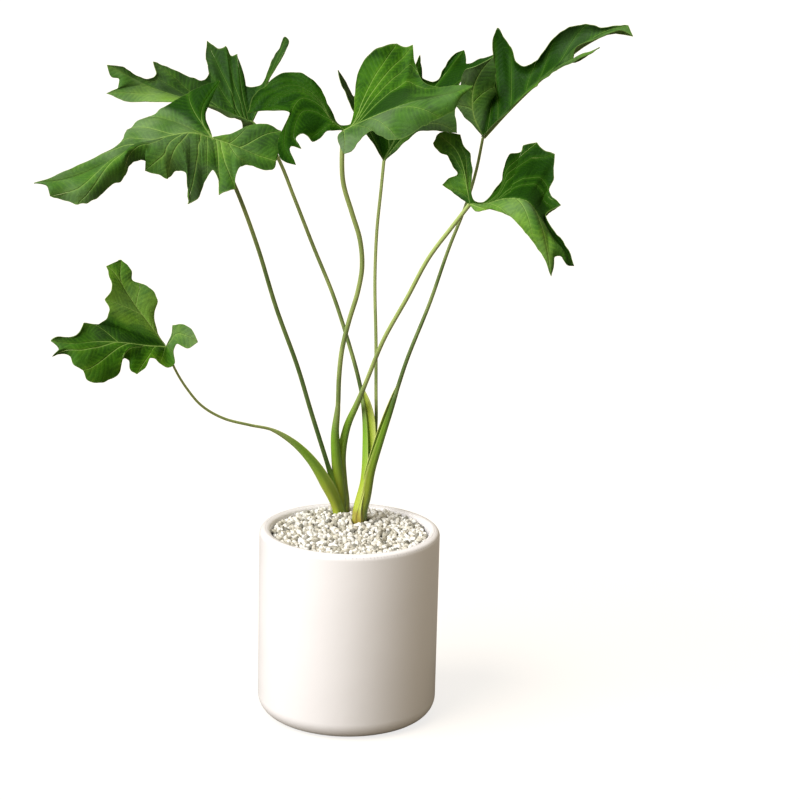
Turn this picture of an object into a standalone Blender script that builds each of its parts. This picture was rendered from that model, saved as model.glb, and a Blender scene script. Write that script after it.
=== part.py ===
"""A split-leaf philodendron in a round white pot: seven lobed leaves on long stalks, which grow
from two short crowns that stand in potting mix under a layer of white pebbles.

Metres, +Z up. The origin is the centre of the pot's foot, on the surface that it stands on, and
-Y is the front. Points of the plant are written as they look from the front: where they show in
an 800 by 800 front view, in its own units from its top left corner, and how many millimetres
they lie behind the pot's axis.
"""

import math
import random

import bmesh
import bpy
import numpy as np
from mathutils import Matrix, Vector

MM = 0.001
WELD_REACH = 0.01 * MM

# The pot, its filling and the gap that resting pieces keep.
POT_DIAMETER = 150 * MM
POT_HEIGHT = 160 * MM
POT_WALL = 9.5 * MM
POT_FLOOR = 12 * MM
FOOT_ROUND = 15 * MM
INNER_ROUND = 8 * MM
LIP_ROUND = POT_WALL / 2
POT_SIDES = 48
LIP_STEPS = 6
FOOT_STEPS = 5
FLOOR_STEPS = 4
GAP = 0.3 * MM
GRAVEL_TOP = POT_HEIGHT - 2.5 * MM
GRAVEL_DEPTH = 14 * MM
GRAVEL_SIDES = 40
BED_DROP = 2.6 * MM
BED_RINGS = 5

# Pebbles: larger than life here, one layer that covers the mix.
PEBBLE_SIZE = 11.6 * MM
PEBBLE_PITCH = 10.8 * MM
PEBBLE_SEED = 7
PEBBLE_NUDGE = 1.6 * MM
PEBBLE_RISE = 0.7 * MM
PEBBLE_SHAPES = ((0.85, 1.1), (0.8, 1.0), (0.6, 0.8))
PEBBLE_LEAN = 0.4
HEAP_HEIGHT = 5 * MM
HEAP_SPREAD = 38 * MM

# Crowns: the short stems that the stalks grow from.
CROWNS = ("left", "right")
CROWN_RADIUS = 7 * MM
CROWN_BOTTOM = 112 * MM
CROWN_TOP = 170 * MM
CROWN_FOOT_ROUND = 3 * MM
CROWN_POINT_ANGLE = 70
CROWN_STEPS = 4
CROWN_SIDES = 14
HOLE_CLEARANCE = 0.8 * MM
HOLE_REACH = 30 * MM

# Leaves.
BLADE_THICKNESS = 0.8 * MM
RIB_THICKNESS = 1.7 * MM
KNUCKLE_LENGTH = 10 * MM
STALK_STEP = 15 * MM
MIDRIB_SLOTS = 40
LOBE_SLOTS = 16
HALF_ROWS = 2
MERGE_REACH = 0.6 * MM
KNUCKLE_STATIONS = 4
SHEATH_FADE = 0.8
SMOOTH_ANGLE = math.radians(40)
POT_SMOOTH_ANGLE = math.radians(50)

# The eye of the front view.
EYE = Vector((0.039, -1.726, 0.705))
EYE_PITCH = math.radians(14.13)
EYE_ROLL = math.radians(1.47)
EYE_FOCUS = 2172
VIEW_CENTRE = 400

POT_COLOUR = (0.86, 0.83, 0.78, 1)
MIX_COLOUR = (0.07, 0.045, 0.03, 1)
PEBBLE_COLOUR = (0.80, 0.78, 0.71, 1)
STALK_COLOUR = (0.24, 0.38, 0.05, 1)
BLADE_COLOUR = (0.05, 0.19, 0.03, 1)
POT_ROUGHNESS = 0.35
MIX_ROUGHNESS = 0.95
PEBBLE_ROUGHNESS = 0.7
STALK_ROUGHNESS = 0.45
BLADE_ROUGHNESS = 0.35


def eye_axes():
    """Right, up and forward of the front view's eye."""
    right = Vector((1, 0, 0))
    forward = Vector((0, math.cos(EYE_PITCH), -math.sin(EYE_PITCH)))
    up = right.cross(forward)
    across = right * math.cos(EYE_ROLL) + up * math.sin(EYE_ROLL)
    upward = up * math.cos(EYE_ROLL) - right * math.sin(EYE_ROLL)
    return across, upward, forward


def placed(x, y, back):
    """The point that shows at (x, y) in the front view and lies back mm behind the pot's axis."""
    across, upward, forward = eye_axes()
    ray = across * (x - VIEW_CENTRE) - upward * (y - VIEW_CENTRE) + forward * EYE_FOCUS
    return EYE + ray * ((back * MM - EYE.y) / ray.y)


def tip(x, y, back, share):
    """A pointed place on a blade's edge.

    share says where its vein starts: on the midrib, from 0 at the stalk to 1 at the tip, or on
    the base lobe's vein, from 0 at the stalk to -1 at the lobe's end.
    """
    return (x, y, back, share, True)


def edge(x, y, back, share):
    """A rounded place on a blade's edge."""
    return (x, y, back, share, False)


# Each stalk runs from its crown to its blade. Widths are in mm: at the sheath, above it, at the
# blade. sheath is the sheath's length in mm.
STALKS = {
    "left_low": dict(
        crown="left", widths=(10.5, 3.4, 2.0), sheath=85,
        path=[(337, 507, 44), (325, 481, 38), (309, 457, 30), (292, 441, 22), (273, 430, 14),
              (250, 425, 4), (223, 418, -6), (201, 405, -16), (188, 390, -24), (175, 369, -31),
              (166, 347, -30)]),
    "left_front": dict(
        crown="left", widths=(6.5, 4.2, 3.4), sheath=40,
        path=[(340, 505, 44), (330, 472, 40), (310, 408, 30), (299, 371, 24), (276, 307, 14),
              (257, 245, 4), (237, 191, -6), (224, 162, -13), (212, 138, -18)]),
    "centre_front": dict(
        crown="left", widths=(9.5, 4.2, 4.0), sheath=95,
        path=[(341, 506, 44), (336, 465, 38), (335, 435, 33), (338, 405, 28), (339, 378, 24),
              (342, 350, 20), (349, 321, 16), (358, 291, 11), (362, 268, 8), (360, 240, 5),
              (352, 213, 1), (343, 181, -3), (342, 156, -5), (344, 130, -5)]),
    "right_front": dict(
        crown="left", widths=(8.0, 3.8, 3.6), sheath=80,
        path=[(346, 508, 44), (344, 481, 39), (344, 458, 31), (348, 428, 22), (356, 401, 14),
              (366, 378, 7), (384, 339, -4), (407, 298, -15), (430, 256, -26), (452, 227, -35),
              (470, 204, -42)]),
    "left_back": dict(
        crown="right", widths=(9.5, 4.0, 3.0), sheath=105,
        path=[(359, 514, 22), (364, 481, 25), (365, 447, 29), (364, 412, 33), (360, 385, 37),
              (346, 334, 43), (335, 300, 47), (312, 243, 53), (294, 197, 58), (279, 160, 61),
              (266, 137, 63), (252, 122, 62)]),
    "centre_back": dict(
        crown="right", widths=(6.0, 3.0, 2.8), sheath=60,
        path=[(362, 512, 24), (372, 462, 30), (376, 425, 36), (376, 390, 41), (376, 344, 48),
              (375, 275, 58), (377, 229, 64), (381, 190, 69), (384, 160, 72)]),
    "right_back": dict(
        crown="right", widths=(10.0, 4.6, 2.6), sheath=110,
        path=[(361, 513, 22), (366, 498, 22), (373, 472, 23), (382, 440, 24), (391, 408, 25),
              (406, 362, 26), (430, 302, 27), (450, 245, 28), (464, 210, 29), (476, 171, 30),
              (483, 137, 30)]),
}

# Each blade: its midrib from the stalk to the tip, the vein of each base lobe from the same place
# to the lobe's end, and its two edges, left and right as seen from above with the tip ahead. Each
# edge starts at the stalk, goes round its base lobe and on to the tip. bows give how far, in mm
# (right, back, up), the blade swells between vein and edge: in the left base lobe, the left half,
# the right half and the right base lobe.
BLADES = {
    "left_front": dict(
        midrib=[(212, 138, -18), (193, 133, -25), (170, 136, -33), (146, 143, -42),
                (122, 154, -52), (95, 169, -64), (64, 180, -76), (34, 183, -85)],
        left_vein=[(235, 146, -19), (256, 155, -21), (276, 161, -23)],
        left=[edge(228, 135, -15, -0.25), edge(250, 126, -8, -0.5), edge(268, 125, -8, -0.7),
              tip(281, 131, -9, -0.85), edge(280, 146, -15, -0.95), tip(276, 161, -23, -1),
              edge(275, 167, -24, -0.95), edge(268, 170, -26, -0.85), edge(247, 165, -28, -0.5),
              edge(238, 170, -36, -0.375), tip(235, 189, -46, -0.25), edge(229, 191, -50, -0.19),
              tip(219, 195, -52, -0.125), edge(218, 179, -44, 0), edge(213, 170, -40, 0.025),
              edge(207, 178, -46, 0.05), edge(202, 189, -52, 0.075), edge(197, 200, -60, 0.1),
              tip(188, 204, -64, 0.125), edge(188, 186, -58, 0.15), edge(184, 171, -50, 0.2),
              edge(176, 171, -50, 0.25), tip(167, 179, -58, 0.275), edge(157, 174, -58, 0.3),
              tip(145, 171, -58, 0.325), edge(147, 162, -54, 0.375), edge(139, 160, -56, 0.4),
              edge(131, 163, -60, 0.45), edge(124, 177, -70, 0.5), edge(109, 187, -80, 0.575),
              edge(98, 197, -88, 0.65), edge(88, 203, -92, 0.7), tip(78, 204, -94, 0.75),
              edge(65, 201, -93, 0.8), tip(50, 196, -94, 0.875), edge(48, 187, -90, 0.95)],
        right_vein=[(203, 124, -14), (203, 108, -2), (211, 93, 8), (220, 81, 14)],
        right=[edge(210, 131, -15, -0.1), edge(205, 118, -9, -0.35), edge(210, 103, 0, -0.65),
               tip(220, 81, 14, -1), edge(205, 85, 16, -0.75), edge(189, 93, 15, -0.5),
               edge(168, 105, 8, -0.2), edge(150, 116, 0, 0.12), edge(138, 121, -6, 0.28),
               edge(131, 129, -14, 0.4), tip(127, 131, -20, 0.46), edge(122, 146, -38, 0.56),
               edge(100, 157, -52, 0.69), edge(70, 170, -68, 0.84), edge(50, 179, -78, 0.93)],
        bows=((0, 0, 2), (0, -9, 7), (0, 3, 5), (0, 0, 2))),
    "left_back": dict(
        midrib=[(252, 122, 62), (228, 113, 60), (205, 104, 57), (180, 97, 52), (150, 87, 45),
                (128, 76, 40), (107, 65, 36)],
        left_vein=[(256, 138, 48), (262, 160, 34)],
        left=[edge(262, 128, 52, -0.3), edge(268, 145, 42, -0.7), tip(262, 160, 34, -1),
              edge(248, 156, 32, -0.8), edge(242, 138, 34, -0.4), edge(240, 121, 28, 0.06),
              edge(228, 116, 18, 0.125), edge(210, 108, 14, 0.2), edge(190, 105, 14, 0.3),
              edge(166, 102, 18, 0.4), edge(150, 102, 22, 0.5), edge(120, 100, 26, 0.6),
              tip(107, 93, 28, 0.7), edge(118, 88, 30, 0.775), edge(119, 80, 34, 0.85),
              edge(112, 77, 35, 0.925)],
        right_vein=[(262, 98, 67), (271, 73, 69), (286, 39, 67)],
        right=[edge(259, 108, 60, -0.2), edge(266, 88, 60, -0.4), edge(276, 66, 62, -0.7),
               tip(286, 39, 67, -1), edge(279, 50, 73, -0.85), tip(271, 59, 77, -0.7),
               edge(268, 72, 77, -0.5), edge(260, 86, 78, -0.25), edge(246, 86, 78, 0),
               edge(243, 72, 82, 0.025), tip(237, 54, 86, 0.075), edge(232, 56, 88, 0.1),
               tip(226, 46, 90, 0.125), edge(220, 49, 92, 0.15), tip(207, 41, 94, 0.2),
               edge(206, 55, 88, 0.225), edge(209, 73, 80, 0.275), edge(203, 81, 74, 0.35),
               edge(192, 78, 72, 0.425), edge(178, 71, 70, 0.525), tip(153, 62, 66, 0.6),
               edge(156, 74, 60, 0.67), edge(150, 79, 54, 0.73), edge(138, 76, 50, 0.8),
               edge(124, 67, 44, 0.9)],
        bows=((0, 0, 0), (0, -4, 3), (0, 2, -3), (0, 0, 0))),
    "centre_front": dict(
        midrib=[(344, 130, -5), (362, 122, -8), (385, 112, -14), (410, 103, -22),
                (440, 96, -30), (458, 92, -36), (473, 86, -40)],
        left_vein=[(332, 121, -3), (318, 104, 3), (303, 98, 2), (291, 112, -10), (285, 132, -22),
                   (285, 150, -33), (296, 165, -40)],
        left=[edge(335, 130, -8, -0.06), edge(326, 131, -11, -0.1), edge(319, 139, -15, -0.14),
              edge(313, 141, -17, -0.18), tip(308, 137, -17, -0.22), edge(304, 134, -17, -0.3),
              edge(296, 138, -22, -0.7), tip(301, 148, -28, -0.78), edge(291, 146, -30, -0.85),
              tip(296, 165, -40, -1), edge(282, 160, -38, -0.9), edge(278, 151, -33, -0.85),
              edge(278, 140, -25, -0.78), edge(284, 126, -15, -0.66), edge(289, 112, -6, -0.52),
              edge(278, 110, -1, -0.46), edge(264, 111, 3, -0.44), tip(248, 113, 5, -0.42),
              edge(254, 96, 12, -0.4), edge(264, 87, 18, -0.4), edge(276, 76, 22, -0.38),
              edge(290, 72, 24, -0.36), edge(302, 74, 22, -0.33), edge(313, 80, 18, -0.28),
              edge(321, 89, 15, -0.22), edge(328, 105, 8, -0.15), edge(335, 120, 3, -0.08),
              edge(341, 125, 0, -0.03), edge(350, 125, 2, 0.02), edge(355, 112, 9, 0.04),
              edge(355, 98, 16, 0.07), edge(356, 82, 24, 0.11), edge(360, 67, 31, 0.16),
              edge(370, 54, 36, 0.22), edge(384, 46, 38, 0.28), tip(397, 43, 40, 0.35),
              edge(404, 47, 39, 0.4), tip(413, 45, 38, 0.45), edge(414, 58, 32, 0.5),
              edge(418, 72, 24, 0.56), edge(425, 83, 13, 0.64), edge(440, 87, -2, 0.75),
              edge(458, 85, -18, 0.88)],
        right_vein=[(345, 142, -16), (344, 154, -24)],
        right=[edge(338, 135, -10, -0.3), edge(340, 147, -18, -0.7), tip(344, 154, -24, -1),
               edge(352, 151, -27, -0.8), edge(358, 143, -25, -0.3), edge(364, 136, -23, 0.05),
               edge(372, 131, -25, 0.12), edge(380, 135, -31, 0.18), edge(387, 139, -35, 0.24),
               edge(397, 140, -40, 0.31), edge(410, 135, -43, 0.4), edge(422, 127, -43, 0.5),
               edge(440, 118, -46, 0.64), edge(453, 110, -46, 0.76), edge(460, 99, -44, 0.88)],
        bows=((0, 0, 0), (0, 6, -4), (0, -7, 5), (0, 0, 0))),
    "centre_back": dict(
        midrib=[(384, 160, 72), (395, 140, 80), (410, 118, 92), (428, 95, 108),
                (446, 73, 124), (464, 50, 140)],
        left_vein=[(372, 136, 69), (356, 108, 67), (346, 88, 65), (338, 70, 62)],
        left=[edge(376, 148, 66, -0.15), edge(366, 134, 60, -0.35), edge(355, 114, 57, -0.55),
              edge(347, 98, 57, -0.7), edge(340, 83, 59, -0.88), tip(338, 70, 62, -1),
              edge(345, 81, 70, -0.85), edge(354, 97, 77, -0.65), edge(362, 98, 84, -0.35),
              edge(366, 82, 95, 0.05), tip(376, 64, 106, 0.2), edge(386, 78, 106, 0.275),
              tip(398, 57, 120, 0.35), edge(408, 74, 118, 0.425), tip(420, 55, 128, 0.5),
              edge(423, 78, 125, 0.6), edge(434, 81, 126, 0.675), edge(445, 66, 134, 0.85),
              edge(454, 54, 138, 0.95)],
        right_vein=[(404, 137, 66), (425, 124, 56), (443, 125, 48), (457, 133, 42)],
        right=[edge(395, 151, 66, -0.15), edge(408, 140, 59, -0.35), edge(420, 131, 54, -0.52),
               edge(432, 131, 48, -0.7), tip(457, 133, 42, -1), edge(456, 120, 48, -0.85),
               edge(455, 108, 56, -0.6), edge(453, 98, 72, -0.25), edge(458, 88, 88, 0.15),
               edge(466, 75, 98, 0.36), edge(480, 67, 104, 0.5), tip(500, 52, 108, 0.62),
               edge(482, 59, 116, 0.73), edge(468, 64, 128, 0.86)],
        bows=((0, 0, 0), (0, 5, -3), (0, 4, -3), (0, 0, 0))),
    "right_back": dict(
        midrib=[(483, 137, 30), (508, 110, 28), (535, 84, 25), (562, 62, 20), (590, 42, 14),
                (612, 33, 7), (633, 36, 0)],
        left_vein=[(474, 116, 35), (473, 92, 32), (482, 70, 22), (493, 57, 18)],
        left=[edge(473, 125, 36, -0.15), edge(463, 114, 40, -0.3), tip(456, 105, 40, -0.42),
              edge(459, 92, 35, -0.55), edge(461, 78, 28, -0.68), edge(465, 70, 24, -0.78),
              edge(476, 66, 20, -0.88), tip(493, 57, 18, -1), edge(496, 68, 20, -0.85),
              edge(495, 86, 28, -0.5), edge(495, 93, 34, -0.2), edge(494, 76, 46, 0.05),
              edge(493, 52, 53, 0.12), edge(493, 38, 57, 0.16), tip(497, 28, 59, 0.2),
              edge(504, 37, 56, 0.24), edge(511, 48, 50, 0.29), edge(517, 61, 44, 0.34),
              edge(526, 66, 39, 0.39), edge(536, 62, 35, 0.44), edge(544, 50, 33, 0.49),
              edge(554, 37, 31, 0.55), edge(568, 28, 27, 0.63), edge(586, 24, 21, 0.74),
              edge(602, 27, 15, 0.83), edge(615, 25, 10, 0.9), tip(628, 25, 4, 0.96)],
        right_vein=[(484, 134, 8), (486, 134, -26)],
        right=[edge(481, 139, 14, -0.4), edge(480, 138, -8, -0.8), tip(486, 134, -26, -1),
               edge(496, 124, -16, -0.6), edge(507, 112, -8, 0.05), edge(518, 101, -18, 0.14),
               tip(537, 86, -44, 0.25), edge(546, 78, -26, 0.35), edge(558, 70, -14, 0.4),
               edge(568, 65, -18, 0.45), tip(600, 48, -40, 0.475), edge(573, 60, -6, 0.525),
               edge(577, 48, -12, 0.625), edge(592, 41, -10, 0.75), edge(610, 34, -4, 0.875),
               edge(620, 31, -2, 0.925)],
        bows=((0, 0, 0), (0, 7, -2), (0, -1, 2), (0, 0, 0))),
    "right_front": dict(
        midrib=[(470, 204, -42), (484, 204, -46), (505, 199, -54), (526, 201, -62),
                (541, 219, -70), (552, 237, -76), (564, 252, -79), (574, 266, -82)],
        left_vein=[(467, 188, -36), (464, 170, -30), (456, 150, -22), (438, 134, -18)],
        left=[edge(466, 202, -39, -0.05), edge(456, 195, -34, -0.12), tip(442, 185, -28, -0.22),
              edge(449, 178, -28, -0.32), edge(457, 174, -28, -0.4), edge(453, 167, -26, -0.5),
              edge(448, 157, -23, -0.65), edge(438, 151, -20, -0.8), tip(433, 143, -18, -0.9),
              edge(438, 134, -18, -1), tip(461, 134, -17, -0.8), edge(463, 144, -20, -0.65),
              edge(470, 154, -24, -0.55), edge(472, 170, -30, -0.4), edge(471, 190, -37, -0.15),
              edge(475, 201, -42, 0.025), edge(483, 202, -42, 0.075), edge(494, 190, -34, 0.125),
              edge(503, 178, -26, 0.2), edge(505, 164, -20, 0.25), edge(510, 154, -16, 0.275),
              edge(521, 151, -12, 0.3), tip(523, 145, -10, 0.3), tip(537, 142, -10, 0.35),
              edge(542, 149, -14, 0.375), tip(555, 154, -18, 0.4), edge(554, 168, -25, 0.45),
              edge(554, 180, -33, 0.5), edge(549, 190, -41, 0.525), tip(561, 205, -50, 0.575),
              edge(546, 215, -60, 0.625), edge(553, 229, -68, 0.7), edge(564, 242, -75, 0.85),
              edge(570, 252, -79, 0.925)],
        right_vein=[(478, 207, -56), (486, 210, -70)],
        right=[edge(473, 209, -50, -0.3), edge(478, 212, -60, -0.7), tip(486, 210, -70, -1),
               edge(493, 210, -64, -0.5), edge(503, 213, -66, 0.06), edge(511, 217, -73, 0.16),
               edge(522, 228, -80, 0.3), edge(534, 243, -87, 0.44), edge(544, 258, -91, 0.56),
               tip(551, 277, -93, 0.66), edge(553, 264, -89, 0.72), edge(554, 257, -87, 0.78),
               edge(562, 256, -84, 0.84), edge(567, 265, -84, 0.93)],
        bows=((0, 2, 0), (0, 6, -2), (0, -5, 4), (0, 0, 0))),
    "left_low": dict(
        midrib=[(166, 347, -30), (148, 346, -38), (124, 343, -50), (97, 342, -61),
                (73, 344, -71), (51, 341, -77)],
        left_vein=[(171, 341, -34), (177, 334, -36), (187, 336, -39), (198, 342, -41)],
        left=[edge(168, 342, -32, -0.1), edge(172, 334, -33, -0.3), tip(173, 325, -32, -0.5),
              edge(180, 324, -33, -0.6), edge(191, 329, -37, -0.8), tip(198, 342, -41, -1),
              edge(187, 349, -44, -0.75), edge(177, 344, -42, -0.4), edge(174, 352, -42, -0.1),
              edge(175, 364, -46, 0), edge(167, 369, -52, 0), edge(160, 363, -52, 0.02),
              edge(155, 358, -52, 0.06), edge(150, 358, -54, 0.08), edge(146, 367, -58, 0.11),
              tip(137, 374, -64, 0.15), edge(131, 371, -64, 0.19), edge(129, 361, -60, 0.22),
              edge(125, 358, -61, 0.25), edge(121, 362, -66, 0.29), edge(119, 373, -70, 0.34),
              edge(109, 379, -74, 0.425), edge(96, 382, -80, 0.5), edge(87, 379, -82, 0.55),
              tip(83, 371, -82, 0.6), edge(76, 366, -82, 0.65), edge(70, 357, -80, 0.725),
              edge(62, 354, -80, 0.775), tip(52, 357, -84, 0.825), edge(58, 350, -80, 0.9)],
        right_vein=[(150, 325, -20), (133, 302, -13), (121, 281, -8), (121, 260, 0)],
        right=[edge(157, 331, -18, -0.15), edge(154, 314, -12, -0.3),
               edge(157, 300, -8, -0.42), edge(151, 289, -6, -0.52), edge(140, 283, -4, -0.62),
               edge(132, 279, -3, -0.74), edge(131, 270, -2, -0.86), tip(121, 260, 0, -1),
               tip(106, 266, -6, -0.93), edge(110, 277, -12, -0.8), edge(111, 289, -20, -0.66),
               tip(105, 299, -27, -0.5), edge(109, 311, -35, -0.3), edge(105, 320, -41, -0.05),
               edge(92, 325, -49, 0.4), tip(83, 323, -57, 0.55), edge(79, 331, -63, 0.68),
               edge(68, 338, -69, 0.82), edge(56, 337, -75, 0.93)],
        bows=((0, 0, 0), (0, -6, 4), (0, 6, 3), (0, 0, 0))),
}


class Line:
    """A smooth line through points. At a corner it turns sharply."""

    def __init__(self, points, corners=None):
        self.points = np.array([tuple(point) for point in points])
        steps = np.linalg.norm(np.diff(self.points, axis=0), axis=1)
        self.marks = np.concatenate([[0], np.cumsum(steps)])
        self.length = self.marks[-1]
        slopes = np.diff(self.points, axis=0) / steps[:, None]
        weights = steps[:, None]
        middle = slopes[:-1] * weights[1:] + slopes[1:] * weights[:-1]
        middle /= weights[1:] + weights[:-1]
        self.slopes_out = np.vstack([slopes[:1], middle, slopes[-1:]])
        self.slopes_in = self.slopes_out.copy()
        for index in np.flatnonzero(corners if corners is not None else []):
            if 0 < index < len(slopes):
                self.slopes_in[index] = slopes[index - 1]
                self.slopes_out[index] = slopes[index]

    def at(self, mark):
        """The point that lies mark metres along the line."""
        index = int(np.clip(np.searchsorted(self.marks, mark) - 1, 0, len(self.marks) - 2))
        span = self.marks[index + 1] - self.marks[index]
        t = np.clip((mark - self.marks[index]) / span, 0, 1)
        start, end = self.points[index], self.points[index + 1]
        out, into = self.slopes_out[index] * span, self.slopes_in[index + 1] * span
        return (
            (2 * t**3 - 3 * t**2 + 1) * start
            + (t**3 - 2 * t**2 + t) * out
            + (3 * t**2 - 2 * t**3) * end
            + (t**3 - t**2) * into
        )


class Side:
    """One edge of a blade with the veins that it hangs from: a base lobe's and the midrib."""

    def __init__(self, blade, name):
        start, end = blade["midrib"][0], blade["midrib"][-1]
        stations = blade[name]
        spots = [start] + [station[:3] for station in stations] + [end]
        corners = [True] + [station[4] for station in stations] + [True]
        self.edge = Line([placed(*spot) for spot in spots], corners)
        self.midrib = Line([placed(*spot) for spot in blade["midrib"]])
        self.lobe_vein = Line([placed(*spot) for spot in [start] + blade[f"{name}_vein"]])
        shares = [0] + [station[3] for station in stations] + [1]
        self.shares = [self.snapped(share) for share in shares]

    @staticmethod
    def snapped(share):
        """A share moved to the nearest slot, so that both sides of a vein have the same ones."""
        slots = LOBE_SLOTS if share < 0 else MIDRIB_SLOTS
        return round(share * slots) / slots

    def root(self, share):
        """The point of the vein where the blade's row of that share starts."""
        if share < 0:
            return self.lobe_vein.at(-share * self.lobe_vein.length)
        return self.midrib.at(share * self.midrib.length)

    def columns(self, stops):
        """Pairs of a share and its mark on the edge: at every station and every stop between."""
        marks = self.edge.marks
        pairs = [(0.0, 0.0)]
        for start, end, low, high in zip(self.shares, self.shares[1:], marks, marks[1:]):
            inside = [stop for stop in stops if min(start, end) < stop < max(start, end)]
            for stop in sorted(inside, reverse=end < start):
                pairs.append((stop, low + (high - low) * (stop - start) / (end - start)))
            pairs.append((end, high))
        return pairs


def blade_halves(blade):
    """The blade's middle surface as two grids of points, each from a vein out to an edge."""
    left, right = Side(blade, "left"), Side(blade, "right")
    shared = {share for share in left.shares + right.shares if share >= 0}
    left_lobe, left_half, right_half, right_lobe = np.array(blade["bows"]) * MM
    for side, lobe_bow, half_bow in (
        (left, left_lobe, left_half),
        (right, right_lobe, right_half),
    ):
        stops = shared | {share for share in side.shares if share < 0}
        grid = []
        for share, mark in side.columns(stops):
            root, rim = side.root(share), side.edge.at(mark)
            bow = (lobe_bow if share < 0 else half_bow) * 4 * abs(share) * (1 - abs(share))
            steps = np.linspace(0, 1, HALF_ROWS + 1)[:, None]
            points = root + (rim - root) * steps + bow * 4 * steps * (1 - steps)
            grid.append([(point, share) for point in points])
        yield grid


def linked(name, mesh, colour, roughness):
    """A new node: the mesh as an object in the plant's collection, with its own material."""
    node = bpy.data.objects.new(name, mesh)
    bpy.data.collections["potted_philodendron"].objects.link(node)
    material = bpy.data.materials.new(name)
    material.use_nodes = True
    shader = material.node_tree.nodes["Principled BSDF"]
    shader.inputs["Base Color"].default_value = colour
    shader.inputs["Roughness"].default_value = roughness
    shader.inputs["Metallic"].default_value = 0
    mesh.materials.clear()
    mesh.materials.append(material)
    return node


def evaluated_mesh(source):
    """The object's mesh with its modifiers applied, in world space."""
    bpy.context.view_layer.update()
    graph = bpy.context.evaluated_depsgraph_get()
    mesh = bpy.data.meshes.new_from_object(source.evaluated_get(graph))
    mesh.transform(source.matrix_world)
    return mesh


def helper(name, mesh):
    """An object in the helpers' collection."""
    made = bpy.data.objects.new(name, mesh)
    bpy.data.collections["helpers"].objects.link(made)
    made.hide_render = True
    made.display_type = "WIRE"
    return made


def tube_mesh(name, points, radii):
    """A closed round tube along points."""
    curve = bpy.data.curves.new(name, "CURVE")
    curve.dimensions = "3D"
    curve.bevel_depth = 1
    curve.bevel_resolution = 2
    curve.use_fill_caps = True
    spline = curve.splines.new("POLY")
    spline.points.add(len(points) - 1)
    for target, point, radius in zip(spline.points, points, radii):
        target.co = (*point, 1)
        target.radius = radius
    source = helper(name, curve)
    mesh = evaluated_mesh(source)
    bpy.data.objects.remove(source)
    work = bmesh.new()
    work.from_mesh(mesh)
    bmesh.ops.remove_doubles(work, verts=work.verts, dist=WELD_REACH)
    bmesh.ops.recalc_face_normals(work, faces=work.faces)
    work.to_mesh(mesh)
    work.free()
    return mesh


def combined(base_mesh, others, operation="UNION", solver="EXACT"):
    """base_mesh joined with, or cut by, the other meshes."""
    base = helper("base", base_mesh)
    for index, other in enumerate(others):
        modifier = base.modifiers.new(f"with_{index}", "BOOLEAN")
        modifier.operation = operation
        modifier.solver = solver
        modifier.object = helper(f"other_{index}", other)
    mesh = evaluated_mesh(base)
    for modifier in base.modifiers:
        bpy.data.objects.remove(modifier.object)
    bpy.data.objects.remove(base)
    return mesh


def stalk_line(name):
    return Line([placed(*point) for point in STALKS[name]["path"]])


def stalk_radius(name, mark, length):
    """The stalk's radius mark metres above the crown: wide at the sheath, slender above it."""
    sheath, above, top = (width * MM / 2 for width in STALKS[name]["widths"])
    slender = above + (top - above) * mark / length
    fade = max(0, 1 - mark / (STALKS[name]["sheath"] * MM))
    return slender + (sheath - slender) * fade**SHEATH_FADE


def stalk_mesh(name):
    """A stalk from its crown to just under its blade's knuckle."""
    line = stalk_line(name)
    end = line.length - KNUCKLE_LENGTH - GAP
    marks = np.linspace(0, end, int(end / STALK_STEP) + 2)
    radii = [stalk_radius(name, mark, line.length) for mark in marks]
    return tube_mesh(name, [line.at(mark) for mark in marks], radii)


def knuckle_mesh(name):
    """The short top of the stalk, which is one body with the blade and runs into its midrib."""
    line = stalk_line(name)
    midrib = Line([placed(*point) for point in BLADES[name]["midrib"]])
    marks = np.linspace(line.length - KNUCKLE_LENGTH, line.length, KNUCKLE_STATIONS)
    points = [line.at(mark) for mark in marks] + [midrib.at(KNUCKLE_LENGTH / 2)]
    radii = [stalk_radius(name, mark, line.length) for mark in marks] + [RIB_THICKNESS / 2]
    return tube_mesh(name + "_knuckle", points, radii)


def blade_mesh(name):
    """A blade: its surface as two grids moved into place, thickened, most at the veins."""
    work = bmesh.new()
    weight = work.verts.layers.deform.verify()
    for grid in blade_halves(BLADES[name]):
        columns = len(grid)
        made = bmesh.ops.create_grid(work, x_segments=columns - 1, y_segments=HALF_ROWS, size=1)
        ordered = sorted(made["verts"], key=lambda vert: (round(vert.co.x, 4), round(vert.co.y, 4)))
        for index, vert in enumerate(ordered):
            column, row = divmod(index, HALF_ROWS + 1)
            vert.co, share = grid[column][row]
            vert[weight][0] = 1 - abs(share) if row == 0 else 0.0
    bmesh.ops.remove_doubles(work, verts=work.verts, dist=MERGE_REACH)
    bmesh.ops.recalc_face_normals(work, faces=work.faces)
    bmesh.ops.triangulate(work, faces=work.faces)
    mesh = bpy.data.meshes.new(name)
    work.to_mesh(mesh)
    work.free()
    source = helper(name, mesh)
    source.vertex_groups.new(name="veins")
    thick = source.modifiers.new("thickness", "SOLIDIFY")
    thick.thickness = RIB_THICKNESS
    thick.offset = 0
    thick.vertex_group = "veins"
    thick.thickness_vertex_group = BLADE_THICKNESS / RIB_THICKNESS
    solid = evaluated_mesh(source)
    bpy.data.objects.remove(source)
    return solid


def arc(centre, radius, start, end, steps):
    """Points of a round corner, as (x, z), from one angle to another in degrees."""
    x, z = centre
    angles = np.radians(np.linspace(start, end, steps))
    return [(x + radius * math.cos(angle), z + radius * math.sin(angle)) for angle in angles]


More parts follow.
